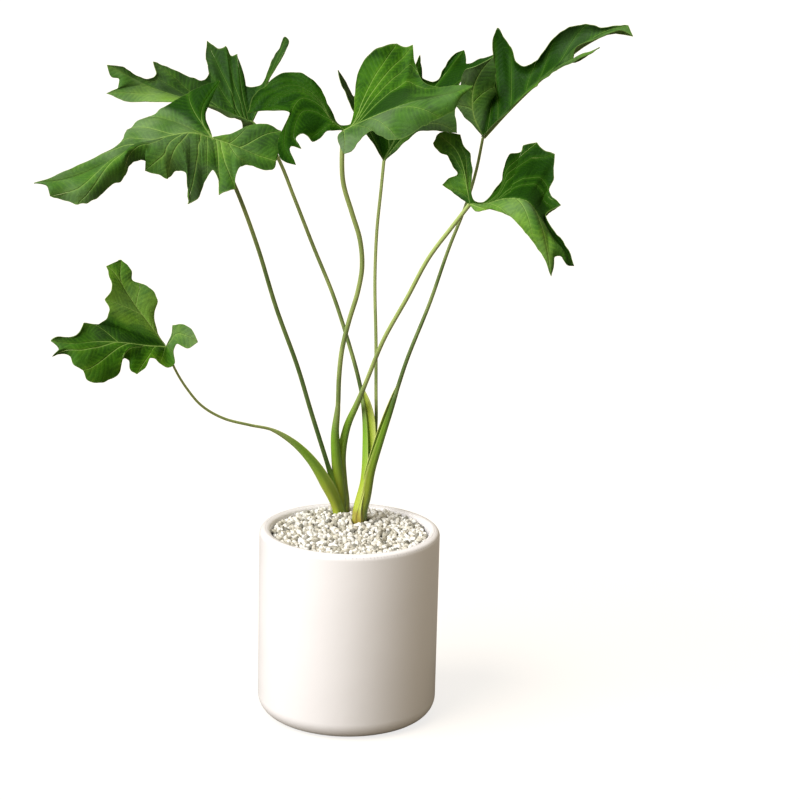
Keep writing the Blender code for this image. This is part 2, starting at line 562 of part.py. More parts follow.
def turned_mesh(name, profile, sides):
    """The profile, given as (x, z) from the top of the axis down the outer side, turned about Z."""
    mesh = bpy.data.meshes.new(name)
    spots = [(x, 0, z) for x, z in profile]
    mesh.from_pydata(spots, [(index, index + 1) for index in range(len(spots) - 1)], [])
    source = helper(name, mesh)
    screw = source.modifiers.new("turn", "SCREW")
    screw.steps = sides
    screw.render_steps = sides
    screw.use_merge_vertices = True
    screw.merge_threshold = WELD_REACH
    solid = evaluated_mesh(source)
    bpy.data.objects.remove(source)
    return solid


def smooth(mesh, angle):
    mesh.shade_smooth()
    mesh.set_sharp_from_angle(angle=angle)


def make_pot():
    """The pot: a straight round shell with a rounded lip and foot and a flat base."""
    outer = POT_DIAMETER / 2
    inner = outer - POT_WALL
    lip = (outer - LIP_ROUND, POT_HEIGHT - LIP_ROUND)
    foot = (outer - FOOT_ROUND, FOOT_ROUND)
    floor = (inner - INNER_ROUND, POT_FLOOR + INNER_ROUND)
    profile = [(0, POT_FLOOR)]
    profile += arc(floor, INNER_ROUND, -90, 0, FLOOR_STEPS)
    profile += arc(lip, LIP_ROUND, 180, 0, LIP_STEPS)
    profile += arc(foot, FOOT_ROUND, 0, -90, FOOT_STEPS)
    profile += [(0, 0)]
    mesh = turned_mesh("pot", profile, POT_SIDES)
    smooth(mesh, POT_SMOOTH_ANGLE)
    linked("pot", mesh, POT_COLOUR, POT_ROUGHNESS)


def crown_spot(side):
    """The crown's place in the pot, as (x, y): where its stalks start."""
    starts = [placed(*stalk["path"][0]) for stalk in STALKS.values() if stalk["crown"] == side]
    middle = sum(starts, Vector()) / len(starts)
    return middle.x, middle.y


def crown_hole(side):
    """A cutter for the plain hole that a crown stands in."""
    radius = CROWN_RADIUS + HOLE_CLEARANCE
    low, high = CROWN_BOTTOM - GAP, POT_HEIGHT + HOLE_REACH
    work = bmesh.new()
    bmesh.ops.create_cone(
        work, cap_ends=True, segments=CROWN_SIDES, radius1=radius, radius2=radius,
        depth=high - low, matrix=Matrix.Translation((*crown_spot(side), (low + high) / 2)),
    )
    mesh = bpy.data.meshes.new(f"{side}_hole")
    work.to_mesh(mesh)
    work.free()
    return mesh


def make_mix():
    """The potting mix: it fills the pot under the pebbles, with a plain hole for each crown."""
    radius = POT_DIAMETER / 2 - POT_WALL - GAP
    top = GRAVEL_TOP - GRAVEL_DEPTH - GAP
    corner = (radius - INNER_ROUND, POT_FLOOR + GAP + INNER_ROUND)
    profile = [(0, top), (radius, top)]
    profile += arc(corner, INNER_ROUND, 0, -90, FLOOR_STEPS)
    profile += [(0, POT_FLOOR + GAP)]
    mesh = turned_mesh("potting_mix", profile, GRAVEL_SIDES)
    mesh = combined(mesh, [crown_hole(side) for side in CROWNS], "DIFFERENCE")
    smooth(mesh, SMOOTH_ANGLE)
    linked("potting_mix", mesh, MIX_COLOUR, MIX_ROUGHNESS)


def pebble_spots():
    """Places of the pebbles, as (x, y): a hexagonal pattern, each nudged a little."""
    draw = random.Random(PEBBLE_SEED)
    largest = PEBBLE_SIZE / 2 * PEBBLE_SHAPES[0][1]
    reach = POT_DIAMETER / 2 - POT_WALL - largest - GAP
    row_pitch = PEBBLE_PITCH * math.sqrt(3) / 2
    rows = int(reach / row_pitch) + 1
    for row in range(-rows, rows + 1):
        for index in range(-rows, rows + 1):
            nudge = Vector((draw.uniform(-1, 1), draw.uniform(-1, 1))) * PEBBLE_NUDGE
            spot = Vector(((index + row % 2 / 2) * PEBBLE_PITCH, row * row_pitch)) + nudge
            if spot.length < reach:
                yield spot


def heap_height(spot):
    """How far the pebbles are heaped up at a spot: most between the two crowns."""
    middle = (Vector(crown_spot("left")) + Vector(crown_spot("right"))) / 2
    return HEAP_HEIGHT * math.exp(-((spot - middle).length / HEAP_SPREAD) ** 2)


def bed_mesh():
    """What the pebbles are fused to: a disc whose top follows the heap."""
    radius = POT_DIAMETER / 2 - POT_WALL - GAP
    top, bottom = GRAVEL_TOP - BED_DROP, GRAVEL_TOP - GRAVEL_DEPTH
    profile = [(radius * ring / BED_RINGS, top) for ring in range(BED_RINGS + 1)]
    profile += [(radius, bottom), (0, bottom)]
    mesh = turned_mesh("bed", profile, GRAVEL_SIDES)
    for vert in mesh.vertices:
        if vert.co.z > bottom + GAP:
            vert.co.z += heap_height(vert.co.to_2d())
    return mesh


def make_pebbles():
    """The layer of white pebbles: a bed with pebbles fused to it, heaped round the crowns."""
    bed = bed_mesh()
    heap = bpy.data.collections.new("heap")
    bpy.context.scene.collection.children.link(heap)
    draw = random.Random(PEBBLE_SEED + 1)
    for spot in pebble_spots():
        work = bmesh.new()
        bmesh.ops.create_icosphere(work, subdivisions=1, radius=PEBBLE_SIZE / 2)
        squash = Matrix.Diagonal([draw.uniform(low, high) for low, high in PEBBLE_SHAPES] + [1])
        turn = Matrix.Rotation(draw.uniform(0, math.tau), 4, "Z")
        lean = Matrix.Rotation(draw.uniform(-PEBBLE_LEAN, PEBBLE_LEAN), 4, "X")
        rise = draw.uniform(-PEBBLE_RISE, PEBBLE_RISE)
        place = Matrix.Translation((*spot, GRAVEL_TOP - BED_DROP + heap_height(spot) + rise))
        work.transform(place @ turn @ lean @ squash)
        mesh = bpy.data.meshes.new("pebble")
        work.to_mesh(mesh)
        work.free()
        heap.objects.link(bpy.data.objects.new("pebble", mesh))
    base = helper("bed", bed)
    union = base.modifiers.new("pebbles", "BOOLEAN")
    union.operation = "UNION"
    union.solver = "MANIFOLD"
    union.operand_type = "COLLECTION"
    union.collection = heap
    mesh = evaluated_mesh(base)
    for pebble in list(heap.objects):
        bpy.data.objects.remove(pebble)
    bpy.data.collections.remove(heap)
    bpy.data.objects.remove(base)
    mesh = combined(mesh, [crown_hole(side) for side in CROWNS], "DIFFERENCE", "MANIFOLD")
    linked("pebbles", mesh, PEBBLE_COLOUR, PEBBLE_ROUGHNESS)


def make_crown(side):
    """A crown: a short rounded stem with its leaf stalks, which grow as one body."""
    spot = crown_spot(side)
    profile = [(0, CROWN_TOP)]
    profile += arc((0, CROWN_TOP - CROWN_RADIUS), CROWN_RADIUS, CROWN_POINT_ANGLE, 0, CROWN_STEPS)
    corner = (CROWN_RADIUS - CROWN_FOOT_ROUND, CROWN_BOTTOM + CROWN_FOOT_ROUND)
    profile += arc(corner, CROWN_FOOT_ROUND, 0, -90, CROWN_STEPS)
    profile += [(0, CROWN_BOTTOM)]
    stem = turned_mesh("stem", profile, CROWN_SIDES)
    stem.transform(Matrix.Translation((*spot, 0)))
    names = [name for name, stalk in STALKS.items() if stalk["crown"] == side]
    mesh = combined(stem, [stalk_mesh(name) for name in names])
    smooth(mesh, SMOOTH_ANGLE)
    linked(f"{side}_crown", mesh, STALK_COLOUR, STALK_ROUGHNESS)


def make_blade(name):
    """A leaf blade with the knuckle that carries it."""
    mesh = combined(blade_mesh(name), [knuckle_mesh(name)], solver="MANIFOLD")
    smooth(mesh, SMOOTH_ANGLE)
    linked(f"{name}_blade", mesh, BLADE_COLOUR, BLADE_ROUGHNESS)


def main():
    for old in list(bpy.data.objects):
        bpy.data.objects.remove(old)
    for name in ("potted_philodendron", "helpers"):
        bpy.context.scene.collection.children.link(bpy.data.collections.new(name))
    make_pot()
    make_mix()
    make_pebbles()
    for side in CROWNS:
        make_crown(side)
    for name in BLADES:
        make_blade(name)


main()
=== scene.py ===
"""The looks of a potted split-leaf philodendron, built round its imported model.

The file is laid out as an add-on and run as a script: each operator makes one piece or one group
of like pieces, and the panel lists them. Metres, +Z up, the origin under the middle of the pot.
Points of the plant are written as they look from the front: where they show in an 800 by 800
front view, in its own units from its top left corner, and how many millimetres they lie behind
the pot's axis.
"""

import math
import random
from contextlib import contextmanager

import bpy
import numpy as np
from bpy.props import FloatProperty, FloatVectorProperty, IntProperty, PointerProperty
from mathutils import Euler, Matrix, Vector, noise


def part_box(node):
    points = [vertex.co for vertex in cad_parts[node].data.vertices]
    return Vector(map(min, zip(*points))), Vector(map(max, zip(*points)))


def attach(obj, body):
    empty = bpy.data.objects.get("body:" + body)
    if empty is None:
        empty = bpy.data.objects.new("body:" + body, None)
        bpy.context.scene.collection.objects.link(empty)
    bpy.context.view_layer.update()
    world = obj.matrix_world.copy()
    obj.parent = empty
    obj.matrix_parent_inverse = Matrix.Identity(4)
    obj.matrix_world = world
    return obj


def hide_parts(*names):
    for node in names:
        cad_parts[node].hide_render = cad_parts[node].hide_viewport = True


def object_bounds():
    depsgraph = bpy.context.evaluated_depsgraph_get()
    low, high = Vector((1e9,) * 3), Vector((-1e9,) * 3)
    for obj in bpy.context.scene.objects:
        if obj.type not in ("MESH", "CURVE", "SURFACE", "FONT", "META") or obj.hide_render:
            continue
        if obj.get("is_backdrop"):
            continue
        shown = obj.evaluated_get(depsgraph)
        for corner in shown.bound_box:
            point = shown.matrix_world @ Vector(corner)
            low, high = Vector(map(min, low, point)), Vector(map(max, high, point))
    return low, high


bl_info = {
    "name": "Potted Philodendron",
    "version": (1, 0, 0),
    "blender": (4, 5, 0),
    "location": "3D View > Sidebar > Plant",
    "description": "Makes a split-leaf philodendron in a white pot with pebbles",
    "category": "Add Mesh",
}

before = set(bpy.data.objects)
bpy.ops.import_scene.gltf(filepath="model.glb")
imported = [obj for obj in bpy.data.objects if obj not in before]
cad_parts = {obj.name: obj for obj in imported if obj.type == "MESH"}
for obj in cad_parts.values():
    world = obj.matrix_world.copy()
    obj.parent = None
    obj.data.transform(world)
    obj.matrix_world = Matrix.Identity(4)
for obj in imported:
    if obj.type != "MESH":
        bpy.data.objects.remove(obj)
CAD_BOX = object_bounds()

BODY = "root"
MM = 0.001

# The eye of the front view, that view's own units, and where the main light comes from.
EYE = Vector((0.039, -1.726, 0.705))
EYE_PITCH = math.radians(14.13)
EYE_ROLL = math.radians(1.47)
EYE_FOCUS = 2172
VIEW_CENTRE = 400
VIEW_SIZE = 800
SENSOR_WIDTH = 36
KEY_TOWARDS = Vector((-0.62, -0.42, 0.63))
KEY_SPREAD = math.radians(50)

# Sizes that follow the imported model.
POT_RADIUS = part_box("pot")[1].x
POT_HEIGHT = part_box("pot")[1].z
GRAVEL_TOP = POT_HEIGHT - 2.5 * MM
BED_BOTTOM = GRAVEL_TOP - 14 * MM
CROWN_TOP = 186 * MM
CROWN_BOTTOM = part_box("left_crown")[0].z
STALK_FOOT = 140 * MM

# The pebbles are heaped between the crowns. Their middles keep clear of the crowns, and of the
# wall by a share of their size. The bed under them keeps clear of the wall too.
HEAP_HEIGHT = 5 * MM
HEAP_SPREAD = 38 * MM
CROWN_ROOM = 8.2 * MM
PEBBLE_WALL_SHARE = 0.3
BED_WALL_ROOM = 0.3 * MM
# They lie in two layers this deep, the upper one with gaps. Each pebble's middle lies lower by a
# share of its size. It is moved aside by up to a share of the spacing, and up or down.
LAYER_DEPTHS = (2.2 * MM, 0.2 * MM)
UPPER_GAPS = 0.16
SUNK_SHARE = 0.42
ASIDE = 0.34
UPWARD = 0.6 * MM
# Each shape of pebble: its lumps for each pebble's length and their depth, and its flat cuts,
# which lie between two shares of its size from its middle and press that much of it in.
PEBBLE_SHAPES = 6
LUMPS = 2.2
LUMP_DEPTH = 0.42
CUTS = 3
CUT_PLACES = (0.30, 0.42)
CUT_PRESS = 0.85
# Between which factors each pebble is stretched along its three axes.
STRETCHES = ((0.75, 1.35), (0.7, 1.1), (0.6, 0.95))

# The two edges of the pot's lip are each rounded by this share of the wall, so they nearly meet.
LIP_SHARE = 0.497

# A stalk ends this far short of its blade's first point. A sheath narrows upwards by one power,
# its groove and wings fade by another, and it is at its widest this high above its foot.
STALK_END = 0.5 * MM
SHEATH_FADE = 0.8
FOLD_FADE = 0.6
SHEATH_BELLY = 25 * MM
# Across a stalk, in radians from the middle of its upper side and in shares of its radius: the
# groove in the middle with a wing on each side of it, and how much more there is at the sheath.
FLAT_SHARE = 0.96
GROOVE_SPREAD = 0.5
SHEATH_GROOVE = 0.3
WING_TURN = 0.9
WING_SPREAD = 0.25
WING = 0.06
SHEATH_WING = 0.34
# The upper side faces back over the crown, and this much up for each part back.
UPPER_SIDE_RISE = 0.8
# A flap starts at this share of the radius, stands this much to the front and curls by this
# share of its width. Two powers say how high up it is widest and how full it is.
FLAP_ROOT = 0.55
FLAP_FORWARD = 0.45
FLAP_CURL = 0.35
FLAP_HIGH = 1.6
FLAP_FULL = 0.8
# A stem's rings in radians for each metre, how deep they are, how much it narrows and by which
# power.
STEM_RINGS = 1900
RING_DEPTH = 0.04
STEM_TAPER = 0.9
STEM_CURVE = 1.4
# A stalk has painted shade on its right flank, away from the main light, but none where it faces
# the sky, which counts this much.
SKY_SIDE = 1.5

# The waves of a blade's edge for each metre, how each edge differs, and how far from the stalk
# and the tip they are full. A shorter row than the last one counts as that long.
EDGE_WAVES = 170
EDGE_DIFFERENCE = 40
EDGE_EASE = 12 * MM
SHORT_ROW = 8 * MM
# The long and short waves of the rim for each metre, how high the short ones are as a share of
# the long ones, and by which power all rise towards the rim.
RIM_WAVES = (55, 120)
SHORT_WAVES_SHARE = 0.5
RIM_RISE = 1.5
# How near a vein the blade is flat, and how much flatter it is at the rim.
VEIN_VALLEY = 5 * MM
RIM_FLATNESS = 0.4
# How the midrib, the base lobes' veins and the others narrow, from which length a vein has its
# full width, how much thinner one to a rounded place is, and how deep all are sunk.
MIDRIB_TAPER = 0.78
LOBE_TAPER = 0.75
SIDE_TAPER = 0.72
LONG_VEIN = 60 * MM
ROUNDED_VEIN = 0.65
RIB_SINK = 0.92
# The widths of the shortest and the long veins, as shares of the midrib's.
LOBE_WIDTHS = (0.45, 0.75)
SIDE_WIDTHS = (0.25, 0.60)
# A vein to the edge ends just inside it and bends forward by this power. None starts beyond the
# last share of the midrib.
VEIN_END = 0.985
VEIN_CURVE = 0.8
LAST_VEIN = 0.98
# How much of the half's look, its painted light, shade and sheen, there is at the stalk, and
# over which share of the base lobe's vein a look goes over into the other.
STALK_BLEND = 0.9
LOBE_BLEND = 0.2

# A stalk's streaks for each metre along it, and all round it.
STREAKS = 14
STREAKS_ROUND = 26
# A vein is pale by the stalk up to this distance, with a pale halo this wide. The rim is pale
# from this share of the way out.
VEIN_PALES = 0.14
HALO = 4 * MM
RIM_START = 0.975

# How finely things are divided.
POT_SIDES = 160
BED_SIDES = 64
BED_RINGS = 8
STEM_SIDES = 24
STEM_STATIONS = 40
STALK_STEP = 3 * MM
STALK_SIDES = 20
FLAP_STATIONS = 26
FLAP_COLUMNS = 6
RIB_SIDES = 6
RIB_STATIONS = 22
EDGE_STEP = 2 * MM
BLADE_ROWS = 28
MIDRIB_SLOTS = 120
LOBE_SLOTS = 48
ROW_CROWDING = 1.15
WELD_REACH = 0.003 * MM
SAME_PLACE = 0.001 * MM
SMOOTH_ANGLE = math.radians(38)
STALK_SMOOTH_ANGLE = math.radians(60)


def tip(x, y, back, share):
    """A pointed place on a blade's edge. A rounded one is a plain tuple of the same four."""
    return (x, y, back, share, "pointed")


# Each stalk runs from its crown to its blade. Widths are in mm: at the sheath, above it, at the
# blade. sheath is the sheath's length in mm, and foot the share of its width that it has at its
# foot. Its tone says how green it is at the crown and at the blade: 0 is dark green, 1 is olive.
# The tone is partly painted light, set higher where a stalk should look more brightly lit.
# A flap has its lower end, its upper end and its width in mm, and its side: -1 left, 1 right.
STALKS = {
    "left_low": dict(
        crown="left", widths=(13.3, 3.4, 2.0), sheath=100, foot=0.6, tone=(0.35, 1.1),
        path=[(337, 507, 42), (325, 481, 34), (309, 457, 26), (292, 441, 20), (273, 430, 14),
              (250, 425, 4), (223, 418, -6), (201, 405, -16), (188, 390, -24), (175, 369, -31),
              (166, 347, -30)]),
    "left_front": dict(
        crown="left", widths=(6.5, 4.2, 3.4), sheath=40, tone=(-0.1, 0.75),
        path=[(340, 505, 44), (330, 472, 40), (310, 408, 30), (299, 371, 24), (276, 307, 14),
              (257, 245, 4), (237, 191, -6), (224, 162, -13), (212, 138, -18)]),
    "centre_front": dict(
        crown="left", widths=(12.3, 4.2, 4.0), sheath=95, foot=0.5, tone=(0.45, 0.95),
        path=[(342, 506, 46), (337, 465, 41), (335, 435, 34), (338, 405, 28), (339, 378, 24),
              (342, 350, 20), (349, 321, 16), (358, 291, 11), (362, 268, 8), (360, 240, 5),
              (352, 213, 1), (343, 181, -3), (342, 156, -5), (344, 130, -5)]),
    "right_front": dict(
        crown="left", widths=(8.5, 3.8, 3.6), sheath=125, tone=(0.5, 1.1),
        path=[(345, 508, 48), (343, 481, 47), (342, 458, 44), (347, 428, 37), (358, 402, 24),
              (367, 380, 12), (384, 339, -4), (407, 298, -15), (430, 256, -26), (452, 227, -35),
              (470, 204, -42)]),
    "left_back": dict(
        crown="right", widths=(12.0, 4.0, 3.0), sheath=105, tone=(0.1, 0.9),
        flaps=[(25, 108, 6.2, 1)],
        path=[(359, 514, 22), (366, 481, 25), (367, 447, 29), (365, 412, 33), (360, 385, 37),
              (346, 334, 43), (335, 300, 47), (312, 243, 53), (294, 197, 58), (279, 160, 61),
              (266, 137, 63), (252, 122, 62)]),
    "centre_back": dict(
        crown="right", widths=(6.0, 3.0, 2.8), sheath=60, tone=(0.4, 1.1),
        path=[(362, 512, 24), (372, 462, 30), (376, 425, 36), (376, 390, 41), (376, 344, 48),
              (375, 275, 58), (377, 229, 64), (381, 190, 69), (384, 160, 72)]),
    "right_back": dict(
        crown="right", widths=(10.6, 4.6, 2.6), sheath=110, tone=(0.1, 0.65),
        flaps=[(30, 112, 2.2, -1)],
        path=[(361, 513, 22), (365, 498, 22), (370, 472, 23), (380, 440, 24), (391, 408, 25),
              (406, 362, 26), (430, 302, 27), (450, 245, 28), (464, 210, 29), (476, 171, 30),
              (483, 137, 30)]),
}

# Each blade: its midrib from the stalk to the tip, the vein of each base lobe from the same place
# to the lobe's end, and its two edges, left and right as seen from above with the tip ahead. Each
# edge starts at the stalk, goes round its base lobe and on to the tip. The fourth number of a
# place on the edge says where its vein starts: on the midrib, from 0 at the stalk to 1 at the
# tip, or on the base lobe's vein, from 0 at the stalk to -1 at the lobe's end.
# bows give how far, in mm (right, back, up), the blade swells between vein and edge: in the left
# base lobe, the left half, the right half and the right base lobe. ribs give how thick the veins
# are there. The tones, from 0 or less, deep green, to 1, fresh green, are painted light and shade:
# low where a part should lie in shade, high where it should look lit or lit through. They and the
# sheen, how much painted greyish sheen stands in for gloss, have the same four and one for the
# tip. pull says where the veins to the left and the right edge start: at 1 straight across from
# their ends, at 0 all at the stalk.
BLADES = {
    "left_front": dict(
        midrib=[(212, 138, -18), (193, 133, -25), (170, 136, -33), (146, 143, -42),
                (122, 154, -52), (95, 169, -64), (64, 180, -76), (34, 183, -85)],
        left_vein=[(235, 146, -19), (256, 155, -21), (276, 161, -23)],
        left=[(228, 135, -15, -0.25), (250, 126, -8, -0.5), (268, 125, -8, -0.7),
              tip(281, 131, -9, -0.85), (280, 146, -15, -0.95), tip(276, 161, -23, -1),
              (275, 167, -24, -0.95), (268, 170, -26, -0.85), (247, 165, -28, -0.5),
              (238, 170, -36, -0.375), tip(235, 189, -46, -0.25), (229, 191, -50, -0.19),
              tip(219, 195, -52, -0.125), (218, 179, -44, 0), (213, 170, -40, 0.025),
              (207, 178, -46, 0.05), (202, 189, -52, 0.075), (197, 200, -60, 0.1),
              tip(188, 204, -64, 0.125), (188, 186, -58, 0.15), (184, 171, -50, 0.2),
              (176, 171, -50, 0.25), tip(167, 179, -58, 0.275), (157, 174, -58, 0.3),
              tip(145, 171, -58, 0.325), (147, 162, -54, 0.375), (139, 160, -56, 0.4),
              (131, 163, -60, 0.45), (124, 177, -70, 0.5), (109, 187, -80, 0.575),
              (98, 197, -88, 0.65), (88, 203, -92, 0.7), tip(78, 204, -94, 0.75),
              (65, 201, -93, 0.8), tip(50, 196, -94, 0.875), (48, 187, -90, 0.95)],
        right_vein=[(203, 124, -14), (203, 108, -2), (211, 93, 8), (220, 81, 14)],
        right=[(210, 131, -15, -0.1), (205, 118, -9, -0.35), (210, 103, 0, -0.65),
               tip(220, 81, 14, -1), (205, 85, 16, -0.75), (189, 93, 15, -0.5),
               (168, 105, 8, -0.2), (150, 116, 0, 0.12), (138, 121, -6, 0.28),
               (131, 129, -14, 0.4), tip(127, 131, -20, 0.46), (122, 146, -38, 0.56),
               (100, 157, -52, 0.69), (70, 170, -68, 0.84), (50, 179, -78, 0.93)],
        bows=((0, 0, 2), (0, -9, 7), (0, 3, 5), (0, 0, 2)),
        tones=(0.5, 0.3, 0.6, 0.0, 0.6), bloom=(0.4, 0.35, 0.8, 0.0, 0.7),
        pull=(0.5, 0.45), ribs=(0.9, 0.9, 1, 1)),
    "left_back": dict(
        midrib=[(252, 122, 62), (228, 113, 60), (205, 104, 57), (180, 97, 52), (150, 87, 45),
                (128, 76, 40), (107, 65, 36)],
        left_vein=[(256, 138, 48), (262, 160, 34)],
        left=[(262, 128, 52, -0.3), (268, 145, 42, -0.7), tip(262, 160, 34, -1),
              (248, 156, 32, -0.8), (242, 138, 34, -0.4), (240, 121, 28, 0.06),
              (228, 116, 18, 0.125), (210, 108, 14, 0.2), (190, 105, 14, 0.3), (166, 102, 18, 0.4),
              (150, 102, 22, 0.5), (120, 100, 26, 0.6), tip(107, 93, 28, 0.7),
              (118, 88, 30, 0.775), (119, 80, 34, 0.85), (112, 77, 35, 0.925)],
        right_vein=[(262, 98, 67), (271, 73, 69), (286, 39, 67)],
        right=[(259, 108, 60, -0.2), (266, 88, 60, -0.4), (277, 67, 62, -0.65),
               (284, 52, 64, -0.85), (289, 40, 66, -0.97), (286, 37, 67, -1), (280, 48, 73, -0.85),
               tip(271, 59, 77, -0.7), (268, 72, 77, -0.5), (260, 86, 78, -0.25), (246, 86, 78, 0),
               (243, 72, 82, 0.025), tip(237, 54, 86, 0.075), (232, 56, 88, 0.1),
               tip(226, 46, 90, 0.125), (220, 49, 92, 0.15), tip(207, 41, 94, 0.2),
               (206, 55, 88, 0.225), (209, 73, 80, 0.275), (203, 81, 74, 0.35),
               (192, 78, 72, 0.425), (178, 71, 70, 0.525), tip(153, 62, 66, 0.6),
               (156, 74, 60, 0.67), (150, 79, 54, 0.73), (138, 76, 50, 0.8), (124, 67, 44, 0.9)],
        bows=((0, 0, 0), (0, -4, 3), (0, 2, -3), (0, 0, 0)),
        tones=(0.1, 0.75, -0.1, 0.0, 0.65), bloom=(0.2, 0.5, 0.15, 0.1, 0.7),
        pull=(0.6, 0.35), ribs=(0.8, 0.8, 0.5, 0.6)),
    "centre_front": dict(
        midrib=[(344, 130, -5), (362, 122, -8), (385, 112, -14), (410, 103, -22),
                (440, 96, -30), (458, 92, -36), (473, 86, -40)],
        left_vein=[(332, 121, -3), (318, 104, 6), (303, 98, 8), (291, 112, -5), (285, 132, -19),
                   (285, 150, -32), (296, 165, -40)],
        left=[(335, 130, -8, -0.06), (326, 131, -11, -0.1), (319, 139, -15, -0.14),
              (313, 141, -17, -0.18), tip(308, 137, -17, -0.22), (304, 134, -17, -0.3),
              (296, 138, -22, -0.7), tip(301, 148, -28, -0.78), (291, 146, -30, -0.85),
              tip(296, 165, -40, -1), (282, 160, -38, -0.9), (278, 151, -33, -0.85),
              (278, 140, -25, -0.78), (284, 126, -15, -0.66), (289, 112, -6, -0.52),
              (278, 110, -1, -0.46), (264, 111, 3, -0.44), tip(248, 113, 5, -0.42),
              (254, 96, 12, -0.4), (264, 87, 18, -0.4), (276, 76, 22, -0.38), (290, 72, 24, -0.36),
              (302, 74, 22, -0.33), (313, 80, 18, -0.28), (321, 89, 15, -0.22),
              (328, 105, 8, -0.15), (335, 120, 3, -0.08), (341, 125, 0, -0.03),
              (350, 125, 2, 0.02), (355, 112, 9, 0.04), (355, 98, 16, 0.07), (356, 82, 24, 0.11),
              (360, 67, 31, 0.16), (370, 54, 36, 0.22), (384, 46, 38, 0.28),
              tip(397, 43, 40, 0.35), (404, 47, 39, 0.4), tip(413, 45, 38, 0.45),
              (414, 58, 32, 0.5), (418, 72, 24, 0.56), (425, 83, 13, 0.64), (440, 87, -2, 0.75),
              (458, 85, -18, 0.88)],
        right_vein=[(345, 142, -16), (344, 154, -24)],
        right=[(338, 135, -10, -0.3), (340, 147, -18, -0.7), tip(344, 154, -24, -1),
               (352, 151, -27, -0.8), (358, 143, -25, -0.3), (364, 136, -23, 0.05),
               (372, 131, -25, 0.12), (380, 135, -31, 0.18), (387, 139, -35, 0.24),
               (397, 140, -40, 0.31), (410, 135, -43, 0.4), (422, 127, -43, 0.5),
               (440, 118, -46, 0.64), (453, 110, -46, 0.76), (460, 99, -44, 0.88)],
        bows=((0, 0, 0), (0, 6, -4), (0, -7, 5), (0, 0, 0)),
        tones=(0.0, 0.22, 0.45, 0.35, 0.5), bloom=(0, 0, 0.55, 0.8, 0.35),
        pull=(0.12, 0.6), ribs=(0.25, 1, 0.8, 0.7)),
    "centre_back": dict(
        midrib=[(384, 160, 72), (395, 140, 80), (410, 118, 92), (428, 95, 108),
                (446, 73, 124), (464, 50, 140)],
        left_vein=[(372, 136, 69), (356, 108, 67), (346, 88, 65), (338, 70, 62)],
        left=[(376, 148, 66, -0.15), (366, 134, 60, -0.35), (355, 114, 57, -0.55),
              (347, 98, 57, -0.7), (340, 83, 59, -0.88), tip(338, 70, 62, -1),
              (345, 81, 70, -0.85), (354, 97, 77, -0.65), (362, 98, 84, -0.35),
              (366, 82, 95, 0.05), tip(376, 64, 106, 0.2), (386, 78, 106, 0.275),
              tip(398, 57, 120, 0.35), (408, 74, 118, 0.425), tip(420, 55, 128, 0.5),
              (423, 78, 125, 0.6), (434, 81, 126, 0.675), (445, 66, 134, 0.85),
              (454, 54, 138, 0.95)],
        right_vein=[(404, 137, 66), (425, 124, 56), (443, 125, 48), (457, 133, 42)],
        right=[(395, 151, 66, -0.15), (408, 140, 59, -0.35), (420, 131, 54, -0.52),
               (432, 131, 48, -0.7), tip(457, 133, 42, -1), (456, 120, 48, -0.85),
               (455, 108, 56, -0.6), (453, 98, 72, -0.25), (458, 88, 88, 0.15),
               (466, 75, 98, 0.36), (480, 67, 104, 0.5), tip(500, 52, 108, 0.62),
               (482, 59, 116, 0.73), (468, 64, 128, 0.86)],
        bows=((0, 0, 0), (0, 5, -3), (0, 4, -3), (0, 0, 0)),
        tones=(0.1, -0.7, -0.4, 0.5, -0.8), bloom=(0.1, 0, 0, 0.4, 0),
        pull=(0.4, 0.4), ribs=(0.7, 0.7, 0.7, 0.8)),
    "right_back": dict(
        midrib=[(483, 137, 30), (508, 110, 28), (535, 84, 25), (562, 62, 20), (590, 42, 14),
                (612, 33, 7), (633, 36, 0)],
        left_vein=[(474, 116, 35), (473, 92, 32), (482, 70, 22), (493, 57, 18)],
        left=[(473, 125, 36, -0.15), (463, 114, 40, -0.3), tip(456, 105, 40, -0.42),
              (459, 92, 35, -0.55), (461, 78, 28, -0.68), (465, 70, 24, -0.78),
              (476, 66, 20, -0.88), tip(493, 57, 18, -1), (496, 68, 20, -0.85),
              (495, 86, 28, -0.5), (495, 93, 34, -0.2), (494, 76, 46, 0.05), (493, 52, 53, 0.12),
              (493, 38, 57, 0.16), (498, 28, 59, 0.2), (504, 37, 56, 0.24), (511, 48, 50, 0.29),
              (517, 61, 44, 0.34), (526, 66, 39, 0.39), (536, 62, 35, 0.44), (544, 50, 33, 0.49),
              (554, 37, 31, 0.55), (568, 28, 27, 0.63), (586, 24, 21, 0.74), (602, 27, 15, 0.83),
              (615, 25, 10, 0.9), tip(628, 25, 4, 0.96)],
        right_vein=[(484, 134, 8), (486, 134, -26)],
        right=[(482, 137, 14, -0.4), (482, 136, -8, -0.8), tip(486, 134, -26, -1),
               (496, 124, -16, -0.6), (507, 112, -8, 0.05), (518, 101, -18, 0.14),
               tip(537, 86, -44, 0.25), (546, 78, -26, 0.35), (558, 70, -14, 0.4),
               (568, 65, -18, 0.45), tip(600, 48, -40, 0.475), (573, 60, -6, 0.525),
               (577, 48, -12, 0.625), (592, 41, -10, 0.75), (610, 34, -4, 0.875),
               (620, 31, -2, 0.925)],
        bows=((0, 0, 0), (0, 7, -2), (0, -1, 2), (0, 0, 0)),
        tones=(0.55, -0.4, 0.3, 0.3, 0.4), bloom=(0.65, 0, 0.2, 0.3, 0.35),
        pull=(0.75, 0.75), ribs=(1, 0.7, 0.7, 0.7)),
    "right_front": dict(
        midrib=[(470, 204, -42), (484, 204, -46), (505, 199, -54), (526, 201, -62),
                (541, 219, -70), (552, 237, -76), (564, 252, -79), (574, 266, -82)],
        left_vein=[(467, 188, -36), (464, 170, -30), (456, 150, -22), (438, 134, -18)],
        left=[(466, 202, -39, -0.05), (456, 195, -34, -0.12), tip(442, 185, -28, -0.22),
              (449, 178, -28, -0.32), (457, 174, -28, -0.4), (453, 167, -26, -0.5),
